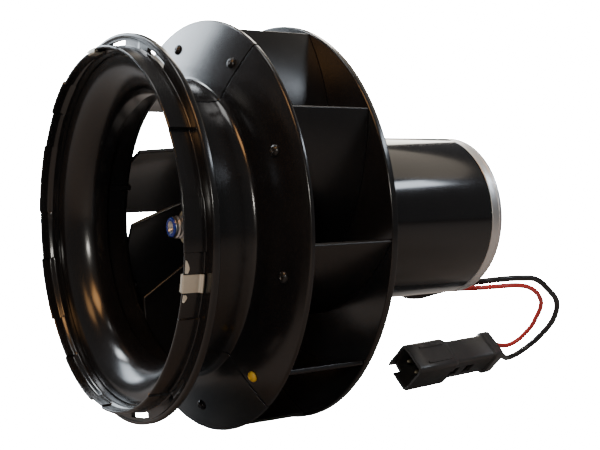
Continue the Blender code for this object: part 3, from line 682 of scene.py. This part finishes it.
def make_rivets():
    outline = softened([
        (0.0, 1.2, 0), (0.6, 1.25, 0.2), (0.9, 1.6, 0.2), (1.5, 1.5, 0.7), (2.4, 0.8, 0.5),
        (2.6, 0.1, 0.2), (1.4, 0.1, 0.1), (1.4, -6.3, 0.4), (0.0, -6.8, 0),
    ], 3)
    for index in range(bpy.context.scene.blower_wheel.blades):
        painted = index == PAINTED_RIVET
        work = moved(turned(outline, steps=28), rivet_place(blade_tip(index)))
        made = piece(f"rivet_head_{index + 1:02d}", work, yellow_dot() if painted else rivet_paint())
        belong(made, "wheel", f"rivet_{index + 1:02d}")


def make_shaft_end():
    """The shaft with its threaded end, the nut and the washer."""
    root = SHAFT_R - 1.0
    pitch = 1.75
    first = SHAFT_TIP + 0.7
    thread_end = HUB_FRONT + 6.0
    turns = int((thread_end - first) / pitch)
    sides = 40
    rings = []
    for side_turn in range(turns * sides + 1):
        angle = 360.0 * side_turn / sides
        y = first + pitch * side_turn / sides
        crest = SHAFT_R - 0.02 - 0.7 * max(0.0, 1 - side_turn / sides)
        rings.append([polar(root - 0.1, angle, y), polar(crest, angle, y + pitch * 0.42),
                      polar(crest, angle, y + pitch * 0.58), polar(root - 0.1, angle, y + pitch)])
    made = piece("thread_ridge", skinned(rings), ground_steel(), 50)
    belong(made, "wheel")
    rear = high("motor_shaft").y
    outline = softened([
        (0, SHAFT_TIP + 3.4, 0), (2.2, SHAFT_TIP + 1.0, 0.2), (2.9, SHAFT_TIP + 0.4, 0.2),
        (root - 0.4, SHAFT_TIP + 0.5, 0.3), (root + 0.2, SHAFT_TIP + 1.6, 0),
        (root + 0.1, thread_end, 0),
        (SHAFT_R, thread_end + 1.2, 0.2), (SHAFT_R, rear, 0.6), (0, rear, 0),
    ])
    made = piece("shaft_bar", turned(outline, steps=64), ground_steel())
    belong(made, "wheel", "motor_shaft")
    outline = softened([(3.0, SHAFT_TIP + 0.9, 0), (3.1, SHAFT_TIP + 0.2, 0.2), (root - 0.6, SHAFT_TIP, 0.4),
                        (root + 0.15, SHAFT_TIP + 0.5, 0.3), (root + 0.2, SHAFT_TIP + 1.1, 0.1)])
    made = piece("thread_lock_cap", turned(outline, steps=48), blue_lock())
    belong(made, "wheel")


def make_nut_and_washer():
    front = low("hub_nut").y
    back = high("hub_nut").y
    rings = []
    for y, shrink in ((front, 0.86), (front + 0.25, 0.92), (front + 1.0, 1.0), (back - 0.6, 1.0),
                      (back, 0.95)):
        ring = []
        for i in range(48):
            angle = 360.0 * i / 48
            flat = NUT_R * FLATS / math.cos(math.radians((angle + 30) % 60 - 30))
            ring.append(polar(min(flat, NUT_R * shrink), angle, y))
        rings.append(ring)
    made = piece("nut_hex", skinned(rings), brass(), 25)
    carve(made, [drill(SHAFT_R + 0.1, front - 1, back + 1, 40)])
    belong(made, "wheel", "hub_nut")
    y0, y1 = low("hub_washer").y, high("hub_washer").y
    wide = high("hub_washer").x
    hole = SHAFT_R + 0.3
    outline = softened([(hole, y0, 0.2), (wide, y0, 0.4), (wide, y1, 0.2), (hole, y1, 0.2)])
    made = piece("washer_disc", turned(outline, steps=64), zinc())
    belong(made, "wheel", "hub_washer")


# ------------------------------------------------------------------ inlet ring shapes

# Middles of the flange's windows, in degrees.
SLOT_ANGLES = (63.5, 91.5, 119.0, 226.0, 254.0, 282.0, 310.5)
# Stretches of the upright wall: start and end in degrees, how far out, and how far forward.
STRETCHES = ((-22.0, -2.5, -0.9, -0.5), (-2.5, 12.8, 0.3, 0.3), (12.8, 33.0, -0.7, -0.5),
             (33.0, 75.0, 1.2, 0.4), (75.0, 92.0, 0.9, 0.6), (123.0, 138.0, 0.9, 0.5),
             (152.0, 177.0, 0.7, 0.4), (194.0, 217.0, 0.9, 0.5), (234.0, 259.0, 0.9, 0.4),
             (268.0, 306.0, 0.7, 0.5))


def stretch_at(angle):
    """How far the wall stands out and forward at an angle."""
    for start, end, out, forward in STRETCHES:
        if (angle - start) % 360 <= end - start:
            return out, forward
    return 0.0, 0.0


def flange_face():
    """Front face of the ring's flange, from the clips' bridge over the wall."""
    return low("ring_clip_1").y + 0.9 + bpy.context.scene.blower_ring.wall_height


def ring_outline(angle):
    """The ring's section at an angle: upright wall, flange with its lip, and back."""
    ring = bpy.context.scene.blower_ring
    face = flange_face()
    proud, lift = stretch_at(angle)
    wall_out = ring.wall_radius + proud
    wall_in = ring.wall_radius - 2.2
    rim_in = wall_out - 1.3
    top = face - ring.wall_height - lift
    return softened([
        (wall_in, face + 2.2, 0.2), (wall_in, face - 4.0, 0.8), (rim_in, face - 5.5, 0.8),
        (rim_in, top, 0.4), (wall_out, top, 0.5), (wall_out, face, 0.5),
        (RING_R - 2.2, face, 0.3), (RING_R - 1.6, face - 0.35, 0.4), (RING_R, face - 0.1, 0.7),
        (RING_R, face + 3.0, 0.7), (RING_R - 1.8, face + 3.0, 0.5), (RING_R - 2.0, face + 2.2, 0.3),
    ], 3)


def quarter(edge, reach, start, depth, angles):
    """Points of a quarter ellipse between the throat and the rim."""
    turns = [math.radians(angle) for angle in angles]
    return [(edge - reach * math.cos(a), start - depth * math.sin(a), 0) for a in turns]


def bell_outline():
    """The bell mouth's section: rim inside the wall, flare, and the straight throat."""
    ring = bpy.context.scene.blower_ring
    face = flange_face()
    throat = ring.throat_radius
    rim = ring.wall_radius - 2.35
    end = high("bell_mouth").y
    reach = rim - 1.0 - throat
    start = face + 15.5
    inside = quarter(rim - 1.0, reach, start, 15.6, range(0, 91, 5))
    outside = quarter(rim + 0.4, reach - 0.8, start, 13.4, range(85, -1, -6))
    edge = [(rim, face - 0.1, 0.4), (rim, face + 2.1, 0.2)]
    return softened([(throat, end, 0.7)] + inside + edge + outside + [(throat + 2.2, end, 0.7)], 3)


def make_ring():
    ring = bpy.context.scene.blower_ring
    angles = [i * 1.5 for i in range(240)]
    for stretch in STRETCHES:
        for edge in stretch[:2]:
            angles += [(edge - 0.15) % 360, (edge + 0.15) % 360]
    angles = sorted(set(round(a, 3) for a in angles))
    made = piece("ring_moulding", turned(ring_outline, angles=angles), ring_gloss())
    face = flange_face()
    near, far = ring.wall_radius + 1.5, ring.wall_radius + 3.8
    slot = [(near, face - 2), (far, face - 2), (far, face + 6), (near, face + 6)]
    carve(made, [turned(slot, a - ring.slot_half, a + ring.slot_half, 8) for a in SLOT_ANGLES])
    belong(made, "inlet_ring", "inlet_ring")
    made = piece("bell_flare", turned(bell_outline(), steps=200), ring_gloss())
    belong(made, "inlet_ring", "bell_mouth")


def make_clips():
    """Spring clips: a leg down the outside with a foot on the flange, and curled ears along the wall."""
    ring = bpy.context.scene.blower_ring
    face = flange_face()
    look = zinc()
    for index in range(2):
        node = f"ring_clip_{index + 1}"
        middle = (Vector(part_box(node)[0]) + Vector(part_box(node)[1])) / 2
        angle = math.degrees(math.atan2(middle.z, middle.x)) - 1.2
        out, forward = stretch_at(angle)
        outer = ring.wall_radius + out + 0.2
        inner = outer - 1.7
        top = face - ring.wall_height - forward - 1.1
        outline = softened([
            (inner - 0.5, top + 0.4, 0.5), (outer + 0.5, top + 0.4, 0.5), (outer + 0.5, face - 2.2, 0.6),
            (outer + 1.8, face - 1.3, 0.4), (outer + 1.6, face - 0.4, 0.3), (outer, face - 1.6, 0.6),
            (outer, top + 0.9, 0.3), (inner, top + 0.9, 0.3), (inner, face - 6.2, 0.2),
            (inner - 0.5, face - 6.2, 0.2),
        ], 3)
        made = piece(f"clip_spring_{index + 1}", turned(outline, angle - 2.6, angle + 2.6, 8), look)
        belong(made, "inlet_ring", node)
        for side, name, reach in ((1, "upper", 3.6), (-1, "lower", 2.2)):
            rings = []
            for i in range(9):
                t = i / 8
                wide = 2.0 * math.sin(math.pi * (0.12 + 0.8 * t)) ** 0.8 * (1 - 0.55 * t)
                a = angle + side * (2.6 + 0.5 + reach * t)
                y = top + 1.2
                rings.append([polar(outer + 0.1, a, y), polar(outer + 0.5, a, y),
                              polar(outer + 0.9, a, y + wide), polar(outer + 0.5, a, y + wide)])
            made = piece(f"clip_ear_{name}_{index + 1}", skinned(rings), look)
            belong(made, "inlet_ring")


# ------------------------------------------------------------------ motor shapes

BOLT_CIRCLE_R = 36.5
BOLT_ANGLES = (45.0, 225.0)
BOLT_HOLE = ((4.6, 2.6), (2.8, 8.0))    # radius and depth: the recess for the head, and the bore


def make_can():
    inner = CAN_R - 2.5
    outline = softened([
        (6.5, CAN_FRONT, 0.3), (20.0, CAN_FRONT, 0.4), (21.0, CAN_FRONT + 0.8, 0.4),
        (CAN_R, CAN_FRONT + 0.8, 4.5), (CAN_R, CAN_REAR, 0.35), (inner, CAN_REAR, 0.3),
        (inner, CAN_FRONT + 3.5, 2), (14.0, CAN_FRONT + 3.5, 0.3), (6.5, CAN_FRONT + 3.0, 0.3),
    ], 6)
    made = piece("can_shell", turned(outline), can_paint())
    belong(made, "motor", "motor_can")


def make_end_bell():
    front, rear = low("end_bell").y, high("end_bell").y
    lip = CAN_REAR + 0.3
    outline = softened([
        (0, rear - 0.9, 0), (12.0, rear - 0.9, 0.3), (12.6, rear, 0.3), (CAN_R, rear, 0.9),
        (CAN_R, rear - 2.3, 0.2), (CAN_R - 0.25, rear - 2.5, 0.1), (CAN_R - 0.25, rear - 2.8, 0.1),
        (CAN_R, rear - 3.0, 0.2), (CAN_R, lip, 0.4), (CAN_R - 2.8, lip, 0.2), (CAN_R - 2.8, front + 5, 0.3),
        (CAN_R - 6, front + 5, 0.5), (CAN_R - 6, rear - 4, 1), (17.0, rear - 4, 1), (16.3, front, 0.4),
        (13.3, front, 0.3), (13.3, rear - 3, 0.3), (0, rear - 3, 0),
    ], 3)
    made = piece("end_bell_turning", turned(outline), bare_band())
    carve(made, [drill(radius, rear - deep, rear + 2, 32, polar(BOLT_CIRCLE_R, angle))
                 for angle in BOLT_ANGLES for radius, deep in BOLT_HOLE])
    belong(made, "motor", "end_bell")


def finish_inner_nodes():
    """Procedural finishes for the CAD pieces that keep their own shape."""
    looks = {
        ground_steel(): ("front_bearing", "rear_bearing", "motor_bolt_1", "motor_bolt_2",
                         "brush_spring_1", "brush_spring_2", "armature_core"),
        copper(): ("winding_front", "winding_rear", "commutator"),
        dark_stone(): ("magnet_1", "magnet_2", "magnet_3", "magnet_4", "brush_1", "brush_2"),
        brown_board(): ("brush_plate",),
        soft_rubber(): ("wire_grommet",),
    }
    for look, nodes in looks.items():
        for node in nodes:
            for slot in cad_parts[node].material_slots:
                slot.material = look


# ------------------------------------------------------------------ wiring shapes

GROMMET_ANGLE = 245.0
WIRE_START = 47.6           # radius at which the wires leave the grommet
GROMMET_Y = -15.1
PLUG_PLACE = Vector((-7.5, 3.0, -86.6))
PLUG_TURN = 8.0
PLUG_ROLL = 43.0
PLUG_FRONT = -33.0
PLUG_REAR = 42.0
PIN_ASIDE = (-4.0, 4.0)
PIN_REAR = 21.7             # where a pin ends and its wire begins
WIRE_SPREAD = 2.5           # each wire's shift from the grommet's middle
SEAL_RINGS = ((-5.7, 14.0), (-0.6, 14.0), (0.1, 13.4), (0.6, 11.8))    # y from the plug's rear, and side
SEAL_HOLES = (1.65, 1.95)   # radii round the red and the black wire


def plug_frame():
    """Where the plug lies: its axis turned a little from Y, and rolled about it."""
    turn = Matrix.Rotation(math.radians(PLUG_TURN), 4, "Z")
    return Matrix.Translation(PLUG_PLACE) @ turn @ Matrix.Rotation(math.radians(PLUG_ROLL), 4, "Y")


def wire_routes():
    """Listed points of the black and the red wire, in millimetres."""
    out = polar(1.0, GROMMET_ANGLE)
    front = Vector((0, GROMMET_Y - WIRE_SPREAD, 0))
    rear = Vector((0, GROMMET_Y + WIRE_SPREAD, 0))
    stops = (PLUG_REAR + 8, PLUG_REAR + 1, PLUG_REAR - 10, PIN_REAR + 0.3)
    red_end, black_end = [[plug_frame() @ Vector((side, y, 0)) for y in stops] for side in PIN_ASIDE]
    black = [
        out * WIRE_START + front, out * (WIRE_START + 2.4) + front,
        (-22.6, -6, -49.5), (-18, 7, -47), (-5, 17, -42), (8, 22.5, -39), (13, 33, -38), (13.5, 45, -38.3),
        (14, 57.5, -40), (14.5, 67.5, -47), (11.5, 77.5, -55), (6, 82.5, -64), (-9, 87.5, -78.5),
        (-20, 82.5, -90), (-19, 67.5, -93.8),
    ]
    red = [
        out * WIRE_START + rear, out * (WIRE_START + 1.2) + rear,
        (-19.5, -3.5, -46.2), (-13.5, 6, -45.5), (-2, 13.5, -44.0), (8, 19.7, -42.8), (12.5, 31, -42.2),
        (13, 43.5, -42.6), (12, 55, -45.3), (9.5, 64, -50.5), (5, 71, -57), (-2, 74.5, -66),
        (-12, 77, -76.5), (-19, 71, -85),
    ]
    return smooth_route(black + black_end), smooth_route(red + red_end)


def smooth_route(points, steps=8):
    """Points along a smooth curve through the given points."""
    knots = [Vector(point) for point in points]
    ways = []
    for before, here, after in zip([None] + knots[:-1], knots, knots[1:] + [None]):
        back = (here - before).normalized() if before else (after - here).normalized()
        ahead = (after - here).normalized() if after else back
        ways.append((back + ahead).normalized())
    route = [knots[0]]
    for a, b, way_a, way_b in zip(knots, knots[1:], ways, ways[1:]):
        pull = (b - a).length * 0.39
        route += interpolate_bezier(a, a + way_a * pull, b - way_b * pull, b, steps + 1)[1:]
    return route


def make_wire(name, node, points, diameter, look):
    curve = bpy.data.curves.new(name, "CURVE")
    curve.dimensions = "3D"
    curve.bevel_depth = diameter / 2
    curve.bevel_resolution = 5
    curve.use_fill_caps = True
    line = curve.splines.new("POLY")
    line.points.add(len(points) - 1)
    for knot, place in zip(line.points, points):
        knot.co = (*(place * MM), 1.0)
    curve.materials.append(look)
    made = bpy.data.objects.new(name, curve)
    bpy.context.scene.collection.objects.link(made)
    return belong(made, "motor", node)


def make_plug():
    sections = []
    for side, corner, y in (
        (19.6, 3.0, PLUG_FRONT), (20.5, 3.2, PLUG_FRONT + 0.8), (20.5, 3.2, PLUG_FRONT + 14.0),
        (20.5, 3.2, -3.0), (19.9, 3.0, -1.6), (17.3, 2.6, 1.6), (16.9, 2.5, 2.4),
        (16.9, 2.5, PLUG_REAR - 8.6), (17.3, 2.6, PLUG_REAR - 8.0), (19.5, 3.0, PLUG_REAR - 7.2),
        (19.5, 3.0, PLUG_REAR - 0.6), (18.9, 2.8, PLUG_REAR),
    ):
        sections.append(square(side, corner, y))
    made = piece("plug_housing", skinned(sections), connector_nylon(), 30)
    socket = [square(17.1, 2.2, y) for y in (PLUG_FRONT - 1, PLUG_FRONT + 20)]
    key_slot = block(-9.0, -3.6, PLUG_FRONT - 1, PLUG_FRONT + 6.5, -12.0, -5.0)
    latches = [block(6.5, 12.0, -4.0, 6.0, -3.2, 3.2), block(5.5, 12.0, 12.0, 19.0, -3.2, 3.2)]
    bores = [drill(2.1, PLUG_FRONT + 18, PLUG_REAR + 2, 24, (side, 0, 0)) for side in PIN_ASIDE]
    seat = [square(14.6, 2.0, y) for y in (PLUG_REAR - 6, PLUG_REAR + 1)]
    carve(made, [skinned(socket), key_slot, *latches, *bores, skinned(seat)])
    ribs = [block(-10.7, -9.6, -20.0, -5.0, -6.0, -4.6), block(-10.7, -9.6, -20.0, -5.0, 4.6, 6.0),
            block(-6.0, -4.6, -24.0, -5.0, 9.6, 10.7), block(4.6, 6.0, -24.0, -5.0, 9.6, 10.7)]
    carve(made, ribs, "UNION")
    soften_edges(made, 0.25)
    settle(made, "connector_housing")
    pins = []
    pin_outline = softened([(0, -26.8, 0), (0.7, -26.8, 0.3), (1.4, -25.0, 0.4), (1.4, PIN_REAR, 0.2),
                            (0, PIN_REAR, 0)], 3)
    for index, side in enumerate(PIN_ASIDE):
        work = moved(turned(pin_outline, steps=28), Matrix.Translation((side, 0, 0)))
        pin = piece(f"plug_pin_{index + 1}", work, brass())
        pins.append(settle(pin, f"connector_pin_{index + 1}"))
    rings = [square(side, 2.0, PLUG_REAR + y) for y, side in SEAL_RINGS]
    seal = piece("plug_seal", skinned(rings), soft_rubber())
    carve(seal, [drill(radius, PLUG_REAR - 7, PLUG_REAR + 2, 24, (side, 0, 0))
                 for side, radius in zip(PIN_ASIDE, SEAL_HOLES)])
    settle(seal, "connector_seal")
    return [made, seal] + pins


def settle(made, node):
    """Put a piece built about the plug's own axes where the plug lies."""
    place = plug_frame()
    place.translation = place.translation * MM
    made.data.transform(place)
    return belong(made, "motor", node)


# ------------------------------------------------------------------ stage

CAMERA_PLACE = Vector((0.4585, -0.4032, 0.0376))
FLOOR_HALF = 3000
FLOOR_GLOW = 60.0
FLOOR_GLOW_SHARE = 0.9
BACKDROP_GLOW = 54.0
ROOM_LIGHT = 0.12
# Name, place, the point on the axis that it faces, width, height, power and colour.
LIGHTS = (
    ("left_panel", (-1.4, -0.5, 0.56), -0.17, 0.7, 0.7, 14.0, (0.82, 0.91, 1.0)),
    ("fillet_panel", (-0.87, -0.55, 1.0), -0.17, 0.28, 0.28, 5.5, (0.92, 0.96, 1.0)),
    ("back_panel", (-0.25, 0.75, 1.15), -0.06, 2.0, 0.35, 2.6, (1.0, 0.88, 0.72)),
    ("far_strip", (-0.93, 0.82, 0.97), -0.06, 0.3, 1.0, 7.0, (1.0, 0.94, 0.84)),
    ("right_back_strip", (0.80, 0.71, 0.85), -0.06, 0.45, 0.16, 4.0, (0.82, 0.90, 1.0)),
    ("overhead_softbox", (-0.1, -0.2, 1.4), -0.12, 0.5, 0.5, 4.0, (1.0, 0.99, 0.97)),
    ("front_spot", (0.75, -0.70, 0.28), -0.14, 0.10, 0.10, 2.4, (1.0, 0.96, 0.88)),
    ("warm_panel", (0.36, -0.77, 0.96), -0.17, 0.40, 0.40, 5.0, (1.0, 0.50, 0.18)),
    ("warm_front_panel", (-0.07, -1.14, 0.68), -0.17, 0.3, 0.3, 1.5, (1.0, 0.52, 0.20)),
)


def camera_axes():
    stage = bpy.context.scene.blower_stage
    a, e = stage.azimuth, stage.elevation
    back = Vector((math.sin(a) * math.cos(e), -math.cos(a) * math.cos(e), math.sin(e)))
    right = Vector((math.cos(a), math.sin(a), 0.0))
    return right, back.cross(right), back


def make_stage():
    scene = bpy.context.scene
    right, up, back = camera_axes()
    data = bpy.data.cameras.new("Camera")
    data.lens = scene.blower_stage.lens
    data.sensor_width = 36.0
    data.clip_start = 0.02
    camera = bpy.data.objects.new("Camera", data)
    scene.collection.objects.link(camera)
    camera.matrix_world = Matrix((right, up, back)).transposed().to_4x4()
    camera.location = CAMERA_PLACE
    scene.camera = camera
    floor_z = low("shroud_segment_2").z - 0.2
    work = bmesh.new()
    corners = ((-1, -1), (1, -1), (1, 1), (-1, 1))
    work.faces.new([work.verts.new((x * FLOOR_HALF, y * FLOOR_HALF, floor_z)) for x, y in corners])
    piece("floor", work, pale_floor())
    for light in LIGHTS:
        add_light(*light)
    world = bpy.data.worlds.new("white_room")
    scene.world = world
    world.use_nodes = True
    background = world.node_tree.nodes["Background"]
    background.inputs["Color"].default_value = (1, 1, 1, 1)
    background.inputs["Strength"].default_value = ROOM_LIGHT
    backdrop = world.node_tree.nodes.new("ShaderNodeBackground")
    backdrop.inputs["Strength"].default_value = BACKDROP_GLOW
    brighten(world.node_tree, background, backdrop, 1.0, "World Output")


def pale_floor():
    pale = bpy.data.materials.new("pale_floor")
    pale.use_nodes = True
    shader = pale.node_tree.nodes["Principled BSDF"]
    shader.inputs["Base Color"].default_value = (0.30, 0.27, 0.25, 1)
    shader.inputs["Roughness"].default_value = 0.7
    glow = pale.node_tree.nodes.new("ShaderNodeEmission")
    glow.inputs["Strength"].default_value = FLOOR_GLOW
    brighten(pale.node_tree, shader, glow, FLOOR_GLOW_SHARE, "Material Output")
    return pale


def brighten(tree, plain, bright, share, output):
    """Show a bright shader to the camera, while the plain one lights and reflects."""
    both = tree.nodes.new("ShaderNodeMixShader")
    seen = tree.nodes.new("ShaderNodeLightPath").outputs["Is Camera Ray"]
    tree.links.new(times(tree, seen, share), both.inputs["Fac"])
    tree.links.new(plain.outputs[0], both.inputs[1])
    tree.links.new(bright.outputs[0], both.inputs[2])
    tree.links.new(both.outputs[0], tree.nodes[output].inputs["Surface"])


def add_light(name, place, aim, wide, tall, power, colour):
    """A rectangular lamp that faces the wheel's axis at y = aim."""
    data = bpy.data.lights.new(name, "AREA")
    data.shape = "RECTANGLE"
    data.size = wide
    data.size_y = tall
    data.energy = power
    data.color = colour
    light = bpy.data.objects.new(name, data)
    bpy.context.scene.collection.objects.link(light)
    light.visible_camera = False
    light.location = place
    light.rotation_euler = (Vector(place) - Vector((0.0, aim, 0.0))).to_track_quat("Z", "Y").to_euler()


# ------------------------------------------------------------------ operators

class BLOWER_OT_stage(bpy.types.Operator):
    """Make the camera, the lights and the floor"""
    bl_idname = "blower.stage"
    bl_label = "Stage"

    def execute(self, context):
        make_stage()
        return {"FINISHED"}


class BLOWER_OT_wiring(bpy.types.Operator):
    """Make both wires and the connector on their end"""
    bl_idname = "blower.wiring"
    bl_label = "Wires and Connector"

    def execute(self, context):
        wiring = context.scene.blower_wiring
        black_route, red_route = wire_routes()
        black = make_wire("pigtail_black", "wire_black", black_route, wiring.black_diameter,
                          insulation("insulation_black", (0.015, 0.015, 0.016)))
        red = make_wire("pigtail_red", "wire_red", red_route, wiring.red_diameter,
                        insulation("insulation_red", wiring.red))
        on_end = make_plug()
        return {"FINISHED"}


class BLOWER_OT_shroud(bpy.types.Operator):
    """Make the three segments of the front shroud and the laps behind their seams"""
    bl_idname = "blower.shroud"
    bl_label = "Shroud"

    def execute(self, context):
        make_shroud()
        return {"FINISHED"}


class BLOWER_OT_blades(bpy.types.Operator):
    """Make the backward-curved blades"""
    bl_idname = "blower.blades"
    bl_label = "Blades"

    def execute(self, context):
        make_blades()
        return {"FINISHED"}


class BLOWER_OT_plate(bpy.types.Operator):
    """Make the back plate and the hub"""
    bl_idname = "blower.plate"
    bl_label = "Back Plate and Hub"

    def execute(self, context):
        make_plate_and_hub()
        return {"FINISHED"}


class BLOWER_OT_rivets(bpy.types.Operator):
    """Make the rivets that hold the blades to the shroud"""
    bl_idname = "blower.rivets"
    bl_label = "Rivets"

    def execute(self, context):
        make_rivets()
        return {"FINISHED"}


class BLOWER_OT_shaft(bpy.types.Operator):
    """Make the threaded shaft, its nut and its washer"""
    bl_idname = "blower.shaft"
    bl_label = "Shaft, Nut and Washer"

    def execute(self, context):
        make_shaft_end()
        make_nut_and_washer()
        return {"FINISHED"}


class BLOWER_OT_ring(bpy.types.Operator):
    """Make the inlet ring"""
    bl_idname = "blower.ring"
    bl_label = "Inlet Ring"

    def execute(self, context):
        make_ring()
        return {"FINISHED"}


class BLOWER_OT_clips(bpy.types.Operator):
    """Make the spring clips on the ring's wall"""
    bl_idname = "blower.clips"
    bl_label = "Ring Clips"

    def execute(self, context):
        make_clips()
        return {"FINISHED"}


class BLOWER_OT_motor(bpy.types.Operator):
    """Make the motor's can and end bell, and finish the pieces inside"""
    bl_idname = "blower.motor"
    bl_label = "Motor"

    def execute(self, context):
        make_can()
        make_end_bell()
        finish_inner_nodes()
        return {"FINISHED"}


OPERATORS = (BLOWER_OT_stage, BLOWER_OT_wiring, BLOWER_OT_shroud, BLOWER_OT_blades, BLOWER_OT_plate,
             BLOWER_OT_rivets, BLOWER_OT_shaft, BLOWER_OT_ring, BLOWER_OT_clips, BLOWER_OT_motor)


class BLOWER_PT_sidebar(bpy.types.Panel):
    """Buttons for each group of pieces"""
    bl_idname = "BLOWER_PT_sidebar"
    bl_label = "Blower Wheel"
    bl_space_type = "VIEW_3D"
    bl_region_type = "UI"
    bl_category = "Blower Wheel"

    def draw(self, context):
        for operator in OPERATORS:
            self.layout.operator(operator.bl_idname)
        for settings in SETTINGS:
            box = self.layout.box()
            group_of = getattr(context.scene, settings)
            for label in group_of.bl_rna.properties.keys():
                if label not in ("rna_type", "name"):
                    box.prop(group_of, label)


SETTINGS = {
    "blower_wheel": WheelSettings,
    "blower_ring": RingSettings,
    "blower_motor": MotorSettings,
    "blower_wiring": WiringSettings,
    "blower_stage": StageSettings,
}


def register():
    for cls in (*SETTINGS.values(), *OPERATORS, BLOWER_PT_sidebar):
        bpy.utils.register_class(cls)
    for name, cls in SETTINGS.items():
        setattr(bpy.types.Scene, name, PointerProperty(type=cls))


def unregister():
    for name in SETTINGS:
        delattr(bpy.types.Scene, name)
    for cls in reversed((*SETTINGS.values(), *OPERATORS, BLOWER_PT_sidebar)):
        bpy.utils.unregister_class(cls)


def main():
    register()
    bpy.ops.blower.stage()
    bpy.ops.blower.wiring()
    bpy.ops.blower.shroud()
    bpy.ops.blower.blades()
    bpy.ops.blower.plate()
    bpy.ops.blower.rivets()
    bpy.ops.blower.shaft()
    bpy.ops.blower.ring()
    bpy.ops.blower.clips()
    bpy.ops.blower.motor()


if __name__ == "__main__":
    main()
